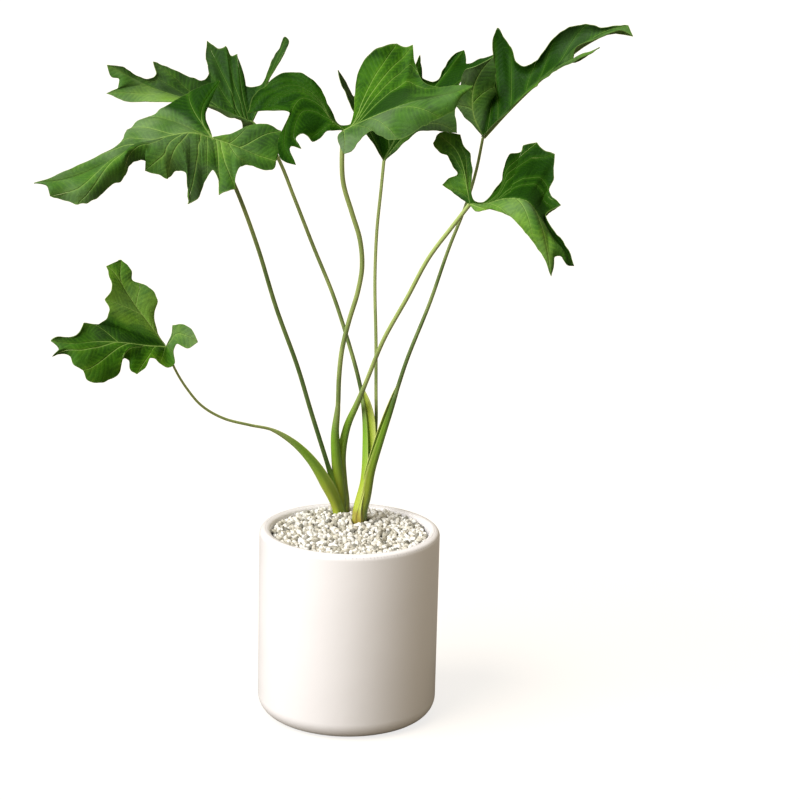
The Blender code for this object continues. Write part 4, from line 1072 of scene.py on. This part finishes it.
class PLANT_OT_pot(PieceOperator, bpy.types.Operator):
    """Make the glazed pot."""

    bl_idname = "plant.pot"
    bl_label = "Glazed Pot"

    def execute(self, context):
        settings = context.scene.plant_pot
        deselect()
        bpy.ops.mesh.primitive_cylinder_add(
            vertices=POT_SIDES, radius=POT_RADIUS, depth=POT_HEIGHT,
            location=(0, 0, POT_HEIGHT / 2))
        pot = bpy.context.object
        pot.name = "white_pot"
        bpy.ops.object.transform_apply(location=True, rotation=True, scale=True)
        # Each rounded edge has its height, its radius and the number of its steps.
        rounded = (
            (POT_HEIGHT, settings.wall * LIP_SHARE, 8),
            (0, settings.foot_round, 9),
            (settings.base, settings.inner_round, 5),
        )
        with editing(pot):
            choose(pot, "FACE", lambda spot: spot.z > POT_HEIGHT - SAME_PLACE)
            bpy.ops.mesh.inset(thickness=settings.wall)
            sink = settings.base - POT_HEIGHT
            bpy.ops.mesh.extrude_region_move(TRANSFORM_OT_translate={"value": (0, 0, sink)})
            for height, radius, segments in rounded:
                choose(pot, "EDGE", lambda spot: abs(spot.z - height) < SAME_PLACE)
                bpy.ops.mesh.bevel(offset=radius, segments=segments, affect="EDGES")
        bpy.ops.object.shade_smooth_by_angle(angle=SMOOTH_ANGLE)
        pot.data.materials.append(glaze_material(settings))
        finished(pot, "pot", "pot")
        return {"FINISHED"}


class PLANT_OT_mix(PieceOperator, bpy.types.Operator):
    """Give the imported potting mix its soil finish."""

    bl_idname = "plant.mix"
    bl_label = "Potting Mix"

    def execute(self, context):
        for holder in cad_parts["potting_mix"].material_slots:
            holder.material = mix_material()
        return {"FINISHED"}


def crown_middle(side):
    """Where a crown stands, as a point on the pot's floor plane."""
    starts = [placed(*stalk["path"][0]) for stalk in STALKS.values() if stalk["crown"] == side]
    middle = sum(starts, Vector()) / len(starts)
    return Vector((middle.x, middle.y, 0))


def heap_height(spot):
    """How far the pebbles are heaped up at a spot: most between the two crowns."""
    middle = (crown_middle("left") + crown_middle("right")).to_2d() / 2
    return HEAP_HEIGHT * math.exp(-((spot - middle).length / HEAP_SPREAD) ** 2)


def grit_bed(settings, radius):
    """A disc of grit whose top follows the heap."""
    deselect()
    top = GRAVEL_TOP - settings.drop
    bpy.ops.mesh.primitive_cylinder_add(
        vertices=BED_SIDES, radius=radius, depth=top - BED_BOTTOM,
        location=(0, 0, (top + BED_BOTTOM) / 2))
    bed = bpy.context.object
    bpy.ops.object.transform_apply(location=True, rotation=True, scale=True)
    with editing(bed):
        choose(bed, "FACE", lambda spot: spot.z > top - SAME_PLACE)
        for _ in range(BED_RINGS - 1):
            bpy.ops.mesh.inset(thickness=radius / BED_RINGS)
        bpy.ops.mesh.poke()
    for vertex in bed.data.vertices:
        if vertex.co.z > top - SAME_PLACE:
            vertex.co.z += heap_height(vertex.co.to_2d())
    return bed


def pebble_shapes(settings, draw):
    """Pebbles of different shapes, each a lumpy ball that is pressed flat in some places."""
    shapes = []
    for index in range(PEBBLE_SHAPES):
        deselect()
        bpy.ops.mesh.primitive_ico_sphere_add(subdivisions=2, radius=settings.size / 2)
        shape = bpy.context.object
        shape.name = f"pebble_shape_{index}"
        # Each shape takes its lumps from another part of the noise.
        offset = Vector((index * 7.3, index * 3.1, 0))
        for vertex in shape.data.vertices:
            lump = noise.noise(vertex.co / settings.size * LUMPS + offset)
            vertex.co *= 1 + LUMP_DEPTH * lump
        for _ in range(CUTS):
            normal = Vector([draw.gauss(0, 1) for _ in range(3)]).normalized()
            limit = settings.size * draw.uniform(*CUT_PLACES)
            for vertex in shape.data.vertices:
                over = vertex.co.dot(normal) - limit
                if over > 0:
                    vertex.co -= normal * over * CUT_PRESS
        shapes.append(shape)
    return shapes


def pebble_spots(settings, radius, draw):
    """Places of the pebbles, layer by layer: rows of close circles, a little disturbed."""
    crowns = [crown_middle(side).to_2d() for side in ("left", "right")]
    pitch = settings.pitch
    row_pitch = pitch * math.sqrt(3) / 2
    reach = radius - settings.size * PEBBLE_WALL_SHARE
    rows = int(reach / row_pitch) + 1
    for layer, deeper in enumerate(LAYER_DEPTHS):
        for row in range(-rows, rows + 1):
            for column in range(-rows, rows + 1):
                if layer == 1 and draw.random() < UPPER_GAPS:
                    continue
                nudge = Vector((draw.uniform(-1, 1), draw.uniform(-1, 1))) * pitch * ASIDE
                spot = Vector(((column + row % 2 / 2 + layer / 3) * pitch,
                               (row + layer / 3) * row_pitch)) + nudge
                clear = all((spot - crown).length > CROWN_ROOM for crown in crowns)
                if spot.length < reach and clear:
                    height = GRAVEL_TOP - settings.size * SUNK_SHARE + heap_height(spot)
                    yield (*spot, height - deeper + draw.uniform(-UPWARD, UPWARD))


class PLANT_OT_pebbles(PieceOperator, bpy.types.Operator):
    """Lay the loose pebbles on their bed of grit."""

    bl_idname = "plant.pebbles"
    bl_label = "White Pebbles"

    def execute(self, context):
        settings = context.scene.plant_pebbles
        draw = random.Random(settings.seed)
        radius = POT_RADIUS - context.scene.plant_pot.wall - BED_WALL_ROOM
        bed = grit_bed(settings, radius)
        shapes = pebble_shapes(settings, draw)
        pebbles = []
        for spot in pebble_spots(settings, radius, draw):
            source = draw.choice(shapes)
            pebble = source.copy()
            pebble.data = source.data.copy()
            turn = Euler([draw.uniform(0, math.tau) for _ in range(3)]).to_matrix().to_4x4()
            scale = Matrix.Diagonal((*(draw.uniform(*ends) for ends in STRETCHES), 1))
            pebble.data.transform(Matrix.Translation(spot) @ turn @ scale)
            context.scene.collection.objects.link(pebble)
            pebbles.append(pebble)
        if not pebbles:
            raise RuntimeError("no pebble fits in the pot")
        corners = len(shapes[0].data.vertices)
        for shape in shapes:
            bpy.data.objects.remove(shape)
        heap = joined("pebble_layer", pebbles)
        point_values(heap, "shade", np.repeat([draw.random() for _ in pebbles], corners))
        heap.data.materials.append(pebble_material(settings))
        bed.data.materials.append(grit_material(settings))
        heap = joined("pebble_layer", [heap, bed])
        bpy.ops.object.shade_smooth_by_angle(angle=SMOOTH_ANGLE)
        finished(heap, "pebbles", "pebbles")
        return {"FINISHED"}


def stalk_radius(name, mark, length):
    """The stalk's radius mark metres above the crown: wide at the sheath, slender above it."""
    sheath, above, top = (width * MM / 2 for width in STALKS[name]["widths"])
    slender = above + (top - above) * mark / length
    fade = max(0, 1 - mark / (STALKS[name]["sheath"] * MM))
    foot = STALKS[name].get("foot", 1)
    belly = foot + (1 - foot) * min(1, mark / SHEATH_BELLY)
    return slender + (sheath - slender) * fade**SHEATH_FADE * belly


def make_stalk(name, settings):
    """A stalk from its crown to its blade, grooved on its upper side, with a sheath below."""
    stalk = STALKS[name]
    path = [placed(*point) for point in stalk["path"]]
    foot = crown_middle(stalk["crown"]) + Vector((0, 0, STALK_FOOT))
    line = Line([foot, *path])
    buried = (path[0] - foot).length
    end = line.length - STALK_END
    marks = np.linspace(0, end, math.ceil(end / STALK_STEP) + 1)
    centres = np.array([line.at(mark) for mark in marks])
    heights = np.maximum(marks - buried, 0)
    fades = np.clip(1 - heights / (stalk["sheath"] * MM), 0, 1)[:, None]
    lean = centres[-1] - centres[0]
    upward = np.array([-lean[0], -lean[1], 0.0])
    upward = upward / np.linalg.norm(upward) + np.array([0, 0, UPPER_SIDE_RISE])
    turns = np.abs(np.angle(np.exp(1j * np.linspace(0, math.tau, STALK_SIDES + 1))))
    folded = fades**FOLD_FADE
    groove = (settings.groove + SHEATH_GROOVE * folded) * np.exp(-(turns / GROOVE_SPREAD) ** 2)
    wing = np.exp(-((turns - WING_TURN) / WING_SPREAD) ** 2)
    section = FLAT_SHARE - groove + (WING + SHEATH_WING * folded) * wing
    radii = [stalk_radius(name, height, line.length - buried) for height in heights]
    # The tone, partly painted light, goes from the crown's to the blade's.
    low_tone, high_tone = stalk["tone"]
    tones = low_tone + (high_tone - low_tone) * (heights / heights[-1])[:, None]
    made = tube(f"{name}_stalk", centres, radii, STALK_SIDES, upward, section,
                sheath=fades, edge=fades**0.5 * wing, tone=tones)
    stretch_map(made, "stalk", [0, *marks, end])
    parts = [made]
    for flap in stalk.get("flaps", ()):
        parts.append(make_flap(line, buried, radii, marks, flap, settings))
    return parts


def make_flap(line, buried, radii, marks, flap, settings):
    """A papery flap of a sheath: a thin curved strip along one side of the stalk."""
    start, stop, width, way = flap
    heights = np.linspace(start, stop, FLAP_STATIONS) * MM
    share = (heights - heights[0]) / (heights[-1] - heights[0])
    bulge = np.sin(math.pi * share**FLAP_HIGH) ** FLAP_FULL * width * MM
    outward = np.linspace(0, 1, FLAP_COLUMNS)
    points = np.empty((len(heights), len(outward), 3))
    for index, height in enumerate(heights):
        mark = height + buried
        centre = line.at(mark)
        heading = line.at(mark + MM) - line.at(mark - MM)
        heading /= np.linalg.norm(heading)
        aside = np.array([way, -FLAP_FORWARD, 0.0])
        aside -= aside.dot(heading) * heading
        aside /= np.linalg.norm(aside)
        front = np.cross(heading, aside) * way
        radius = np.interp(mark, marks, radii)
        reach = radius * FLAP_ROOT + (radius * (1 - FLAP_ROOT) + bulge[index]) * outward
        curl = bulge[index] * FLAP_CURL * outward**2
        points[index] = centre + reach[:, None] * aside - curl[:, None] * front
    made = draped_grid("flap", points, sheath=0.75, edge=outward * 0.9, tone=0.4)
    stretch_map(made, "stalk", heights)
    apply_modifier(made, "SOLIDIFY", thickness=settings.flap, offset=0)
    return made


def make_stem(side, settings):
    """A crown's short ringed stem, which narrows between the stalks."""
    middle = crown_middle(side)
    marks = np.linspace(CROWN_BOTTOM, CROWN_TOP, STEM_STATIONS)
    rings = 1 + RING_DEPTH * np.sin(marks * STEM_RINGS)
    narrow = np.clip((marks - STALK_FOOT) / (CROWN_TOP - STALK_FOOT), 0, 1)
    radii = settings.crown * rings * (1 - STEM_TAPER * narrow**STEM_CURVE)
    centres = [(middle.x, middle.y, mark) for mark in marks]
    to_viewer = np.array([0, -1.0, 0])
    stem = tube(f"{side}_stem", centres, radii, STEM_SIDES, to_viewer, sheath=1, edge=0, tone=0.3)
    stretch_map(stem, "stalk", [marks[0], *marks, marks[-1]])
    return stem


class PLANT_OT_stalks(PieceOperator, bpy.types.Operator):
    """Grow the stalks from their two crowns."""

    bl_idname = "plant.stalks"
    bl_label = "Leaf Stalks"

    def execute(self, context):
        settings = context.scene.plant_stalks
        skin = stalk_material(settings)
        for side in ("left", "right"):
            parts = [make_stem(side, settings)]
            for name, stalk in STALKS.items():
                if stalk["crown"] == side:
                    parts += make_stalk(name, settings)
            clump = joined(f"{side}_stalks", parts)
            weld(clump)
            # Painted shade: each corner is darker the more it faces right, and less where it faces
            # the sky.
            normals = vectors_of(clump.data, "normal")
            painted_shade_flanks = normals[:, 0] - SKY_SIDE * np.maximum(normals[:, 2], 0)
            point_values(clump, "painted_shade_flank", painted_shade_flanks)
            bpy.ops.object.shade_smooth_by_angle(angle=STALK_SMOOTH_ANGLE)
            clump.data.materials.clear()
            clump.data.materials.append(skin)
            finished(clump, "stalks", f"{side}_crown")
        return {"FINISHED"}


def vein_to(points, slots, end, pull, steps):
    """A vein to the edge's place at column end, which leaves its main vein nearer to the stalk.

    pull is 1 where it leaves right across from its end, and near 0 where it starts at the stalk.
    """
    slot = slots[end]
    lobe_end = slots.index(min(slots))
    way = 1 if slot < 0 and end > lobe_end else -1
    first = end
    while 0 < first < len(slots) - 1 and abs(slots[first]) > abs(slot) * pull:
        first += way
    share = np.linspace(0, 1, RIB_STATIONS)
    column = first + (end - first) * share**VEIN_CURVE
    row = np.interp(share * VEIN_END, steps, range(len(steps)))
    low_column = np.minimum(column.astype(int), len(slots) - 2)
    low_row = np.minimum(row.astype(int), len(steps) - 2)
    right = (column - low_column)[:, None]
    down = (row - low_row)[:, None]
    near = points[low_column, low_row] * (1 - down) + points[low_column, low_row + 1] * down
    far = points[low_column + 1, low_row] * (1 - down) + points[low_column + 1, low_row + 1] * down
    return near * (1 - right) + far * right


def vein_radius(length, widths, settings):
    """The radius of a vein at its start. The two widths are for the shortest and a long one."""
    thin, thick = widths
    return settings.rib * (thin + (thick - thin) * min(1, length / LONG_VEIN))


def main_veins(blade, halves, steps, settings):
    """The main veins as (points, radii): midrib, base lobes' veins and veins to the edge."""
    veins = []
    taper = np.linspace(0, 1, RIB_STATIONS)
    thick = dict(zip(("left", "right"), (blade["ribs"][:2], blade["ribs"][:1:-1])))
    for key, side, slots, stations, points in halves:
        lobe_rib, half_rib = thick[key]
        pull = blade["pull"][0 if key == "left" else 1]
        if not veins:
            midrib = np.array([side.midrib.part_way(share) for share in taper])
            veins.append((midrib, settings.rib * (1 - MIDRIB_TAPER * taper)))
        lobe = np.array([side.lobe_vein.part_way(share) for share in taper])
        radius = vein_radius(side.lobe_vein.length, LOBE_WIDTHS, settings) * lobe_rib
        veins.append((lobe, radius * (1 - LOBE_TAPER * taper)))
        last = 0.0
        marks = side.edge.marks
        for index in range(1, len(stations) - 1):
            slot = slots[stations[index]]
            if not -LOBE_SLOTS < slot < MIDRIB_SLOTS * LAST_VEIN:
                last = marks[index]
                continue
            pointed = side.tips[index]
            ahead = [mark for mark, sharp in zip(marks[index:], side.tips[index:]) if sharp]
            room = min(marks[index] - last, ahead[0] - marks[index])
            if not pointed and room < settings.vein_gap:
                continue
            last = marks[index]
            line = vein_to(points, slots, stations[index], pull, steps)
            radius = vein_radius(np.linalg.norm(line[-1] - line[0]), SIDE_WIDTHS, settings)
            radius *= 1 if pointed else ROUNDED_VEIN
            radius *= lobe_rib if slot < 0 else half_rib
            veins.append((line, radius * (1 - SIDE_TAPER * taper)))
    return veins


def vein_measures(spots, normals, veins):
    """How far along each vein, how far from it and in what share of its width each spot lies.

    The last two are below zero on one side of the vein, so they pass evenly through its middle.
    """
    along, away, ratio = (np.empty((len(veins), len(spots))) for _ in range(3))
    rows = np.arange(len(spots))
    for index, (points, radii) in enumerate(veins):
        steps = np.diff(points, axis=0)
        lengths = np.linalg.norm(steps, axis=1)
        marks = np.concatenate([[0], np.cumsum(lengths)])
        offsets = spots[:, None] - points[None, :-1]
        shares = np.clip((offsets * steps).sum(2) / lengths**2, 0, 1)
        aside = offsets - shares[..., None] * steps
        gaps = np.linalg.norm(aside, axis=2)
        best = gaps.argmin(1)
        along[index] = marks[best] + shares[rows, best] * lengths[best]
        hand = np.sign((np.cross(steps[best], normals) * aside[rows, best]).sum(1))
        beyond = (along[index] <= 0) | (along[index] >= marks[-1])
        away[index] = gaps[rows, best] * np.where(beyond, 1, hand)
        ratio[index] = away[index] / np.interp(along[index], marks, radii)
    return along, away, ratio


def part_values(parts, key, shares):
    """One value for each row of a side, from those of the base lobe, the half and the tip."""
    lobe, half = parts[:2] if key == "left" else (parts[3], parts[2])
    change = np.clip(STALK_BLEND + shares / LOBE_BLEND, 0, 1)
    return lobe + (half - lobe) * change + (parts[4] - half) * change * shares**2


def leaf_surface(name, settings):
    """A blade's middle surface, its two halves welded together, and its main veins."""
    blade = BLADES[name]
    steps = np.linspace(0, 1, BLADE_ROWS + 1) ** ROW_CROWDING
    halves, pieces = [], []
    for key in ("left", "right"):
        side = Side(blade, key)
        slots, marks, stations = side.columns()
        points = np.array([side.row(slot, mark, steps, settings.frill)
                           for slot, mark in zip(slots, marks)])
        halves.append((key, side, slots, stations, points))
        shares = np.array([share_of(slot) for slot in slots])
        reach = np.broadcast_to(steps, points.shape[:2])
        if key == "right":
            points, reach = points[:, ::-1], reach[:, ::-1]
        # Each row's painted light and shade and its painted sheen, from the blade's table.
        tone, bloom = (part_values(blade[look], key, shares)[:, None]
                       for look in ("tones", "bloom"))
        pieces.append(draped_grid(f"{name}_{key}", points, rim=reach, tone=tone, bloom=bloom))
    leaf = joined(f"{name}_leaf", pieces)
    weld(leaf)
    return leaf, main_veins(blade, halves, steps, settings)


def vein_maps(mesh, veins, spots, normals):
    """Two UV maps that say where each corner lies by the main vein nearest to its face."""
    along, away, ratio = vein_measures(spots, normals, veins)
    corners = np.empty(len(mesh.loops), dtype=np.int64)
    mesh.loops.foreach_get("vertex_index", corners)
    totals = np.array([face.loop_total for face in mesh.polygons])
    owner = np.repeat(np.arange(len(totals)), totals)
    starts = np.concatenate([[0], np.cumsum(totals)[:-1]])
    means = np.add.reduceat(np.abs(away[:, corners]), starts, axis=1) / totals
    nearest = means.argmin(0)[owner]
    rim = np.empty(len(mesh.vertices))
    mesh.attributes["rim"].data.foreach_get("value", rim)
    while mesh.uv_layers:
        mesh.uv_layers.remove(mesh.uv_layers[0])
    for name, first, second in (
        ("veins", along[nearest, corners], away[nearest, corners]),
        ("reach", ratio[nearest, corners], rim[corners]),
    ):
        layer = mesh.uv_layers.new(name=name)
        layer.data.foreach_set("uv", np.stack([first, second], axis=1).ravel())
    return np.abs(away).min(0), rim


def make_leaf(name, settings, skins):
    """A blade with its quilting, rippled rim, thickness and ribs."""
    leaf, veins = leaf_surface(name, settings)
    mesh = leaf.data
    spots, normals = vectors_of(mesh, "co"), vectors_of(mesh, "normal")
    gap, rim = vein_maps(mesh, veins, spots, normals)
    long_waves, short_waves = RIM_WAVES
    waves = np.array([noise.noise(Vector(spot) * long_waves)
                      + SHORT_WAVES_SHARE * noise.noise(Vector(spot) * short_waves)
                      for spot in spots])
    swell = settings.swell * (1 - np.exp(-(gap / VEIN_VALLEY) ** 2)) * (1 - RIM_FLATNESS * rim)
    ripple = settings.ripple * waves * rim**RIM_RISE
    move_to(mesh, spots + normals * (swell + ripple)[:, None])
    for skin in skins:
        mesh.materials.append(skin)
    apply_modifier(leaf, "SOLIDIFY", thickness=settings.thickness, offset=0,
                   material_offset=1, material_offset_rim=0)
    ribs = []
    for index, (points, radii) in enumerate(veins):
        nearest = [((spots - point) ** 2).sum(1).argmin() for point in points]
        upward = normals[nearest]
        sunk = points - upward * (radii * RIB_SINK)[:, None]
        rib = tube(f"rib_{index}", sunk, radii, RIB_SIDES, upward)
        rib.data.materials.append(skins[2])
        weld(rib)
        ribs.append(rib)
    leaf = joined(f"{name}_leaf", [leaf, *ribs])
    bpy.ops.object.shade_smooth_by_angle(angle=SMOOTH_ANGLE)
    finished(leaf, "leaves", f"{name}_blade")


class PLANT_OT_leaves(PieceOperator, bpy.types.Operator):
    """Unfold the leaf blades on their stalks."""

    bl_idname = "plant.leaves"
    bl_label = "Leaf Blades"

    def execute(self, context):
        settings = context.scene.plant_leaves
        skins = [leaf_material("leaf_upper", settings),
                 leaf_material("leaf_under", settings, underside=True), rib_material(settings)]
        for name in BLADES:
            make_leaf(name, settings, skins)
        return {"FINISHED"}


def room_light(settings):
    """Soft light from all round, brightest straight above."""
    recipe = Recipe(bpy.data.worlds.new("room"), shader="Background")
    place = recipe.add("ShaderNodeTexCoord", ()).outputs["Generated"]
    rise = recipe.add("ShaderNodeSeparateXYZ", [(0, place)]).outputs["Z"]
    haze = dimmed(settings.haze_colour, settings.haze)
    sky = dimmed(settings.sky_colour, settings.sky)
    light = recipe.mix(recipe.spread(rise, 0, 1), haze, sky)
    recipe.tree.links.new(light, recipe.shader.inputs["Color"])
    return recipe.owner


class PLANT_OT_stage(PieceOperator, bpy.types.Operator):
    """Set up the floor, the lights and the camera."""

    bl_idname = "plant.stage"
    bl_label = "Stage"

    def execute(self, context):
        settings = context.scene.plant_stage
        deselect()
        bpy.ops.mesh.primitive_plane_add(size=settings.reach, location=(0, 0, 0))
        floor = bpy.context.object
        floor.name = "studio_floor"
        floor.data.materials.append(floor_material(settings))
        floor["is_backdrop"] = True
        glow_only = bpy.data.collections.new("lit_by_floor")
        glow_only.objects.link(floor)
        floor.light_linking.receiver_collection = glow_only
        across, upward, forward = eye_axes()
        bpy.ops.object.camera_add()
        camera = bpy.context.object
        camera.name = "front_view"
        turn = Matrix((across, upward, -forward)).transposed()
        camera.matrix_world = Matrix.Translation(EYE) @ turn.to_4x4()
        camera.data.sensor_width = SENSOR_WIDTH
        camera.data.lens = EYE_FOCUS * SENSOR_WIDTH / VIEW_SIZE
        context.scene.camera = camera
        bpy.ops.object.light_add(type="SUN")
        key = bpy.context.object
        key.name = "key_light"
        key.data.energy = settings.key
        key.data.angle = KEY_SPREAD
        key.rotation_euler = KEY_TOWARDS.to_track_quat("Z", "Y").to_euler()
        context.scene.world = room_light(settings)
        context.scene.view_settings.view_transform = "Standard"
        return {"FINISHED"}


STEPS = (
    ("pot", PLANT_OT_pot, PotSettings),
    ("mix", PLANT_OT_mix, None),
    ("pebbles", PLANT_OT_pebbles, PebbleSettings),
    ("stalks", PLANT_OT_stalks, StalkSettings),
    ("leaves", PLANT_OT_leaves, LeafSettings),
    ("stage", PLANT_OT_stage, StageSettings),
)


class PLANT_PT_panel(bpy.types.Panel):
    """The sidebar panel with the plant's pieces and their settings."""

    bl_idname = "PLANT_PT_panel"
    bl_label = "Potted Philodendron"
    bl_space_type = "VIEW_3D"
    bl_region_type = "UI"
    bl_category = "Plant"

    def draw(self, context):
        for key, operator, settings in STEPS:
            box = self.layout.box()
            box.operator(operator.bl_idname)
            if settings:
                for setting in settings.__annotations__:
                    box.prop(getattr(context.scene, f"plant_{key}"), setting)


def register():
    for key, operator, settings in STEPS:
        bpy.utils.register_class(operator)
        if settings:
            bpy.utils.register_class(settings)
            setattr(bpy.types.Scene, f"plant_{key}", PointerProperty(type=settings))
    bpy.utils.register_class(PLANT_PT_panel)


def unregister():
    bpy.utils.unregister_class(PLANT_PT_panel)
    for key, operator, settings in reversed(STEPS):
        if settings:
            delattr(bpy.types.Scene, f"plant_{key}")
            bpy.utils.unregister_class(settings)
        bpy.utils.unregister_class(operator)


def main():
    register()
    for key, _, _ in STEPS:
        getattr(bpy.ops.plant, key)()
    boxes = {"cad": CAD_BOX, "visual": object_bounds()}
    {key: [list(corner) for corner in box] for key, box in boxes.items()}


if __name__ == "__main__":
    main()
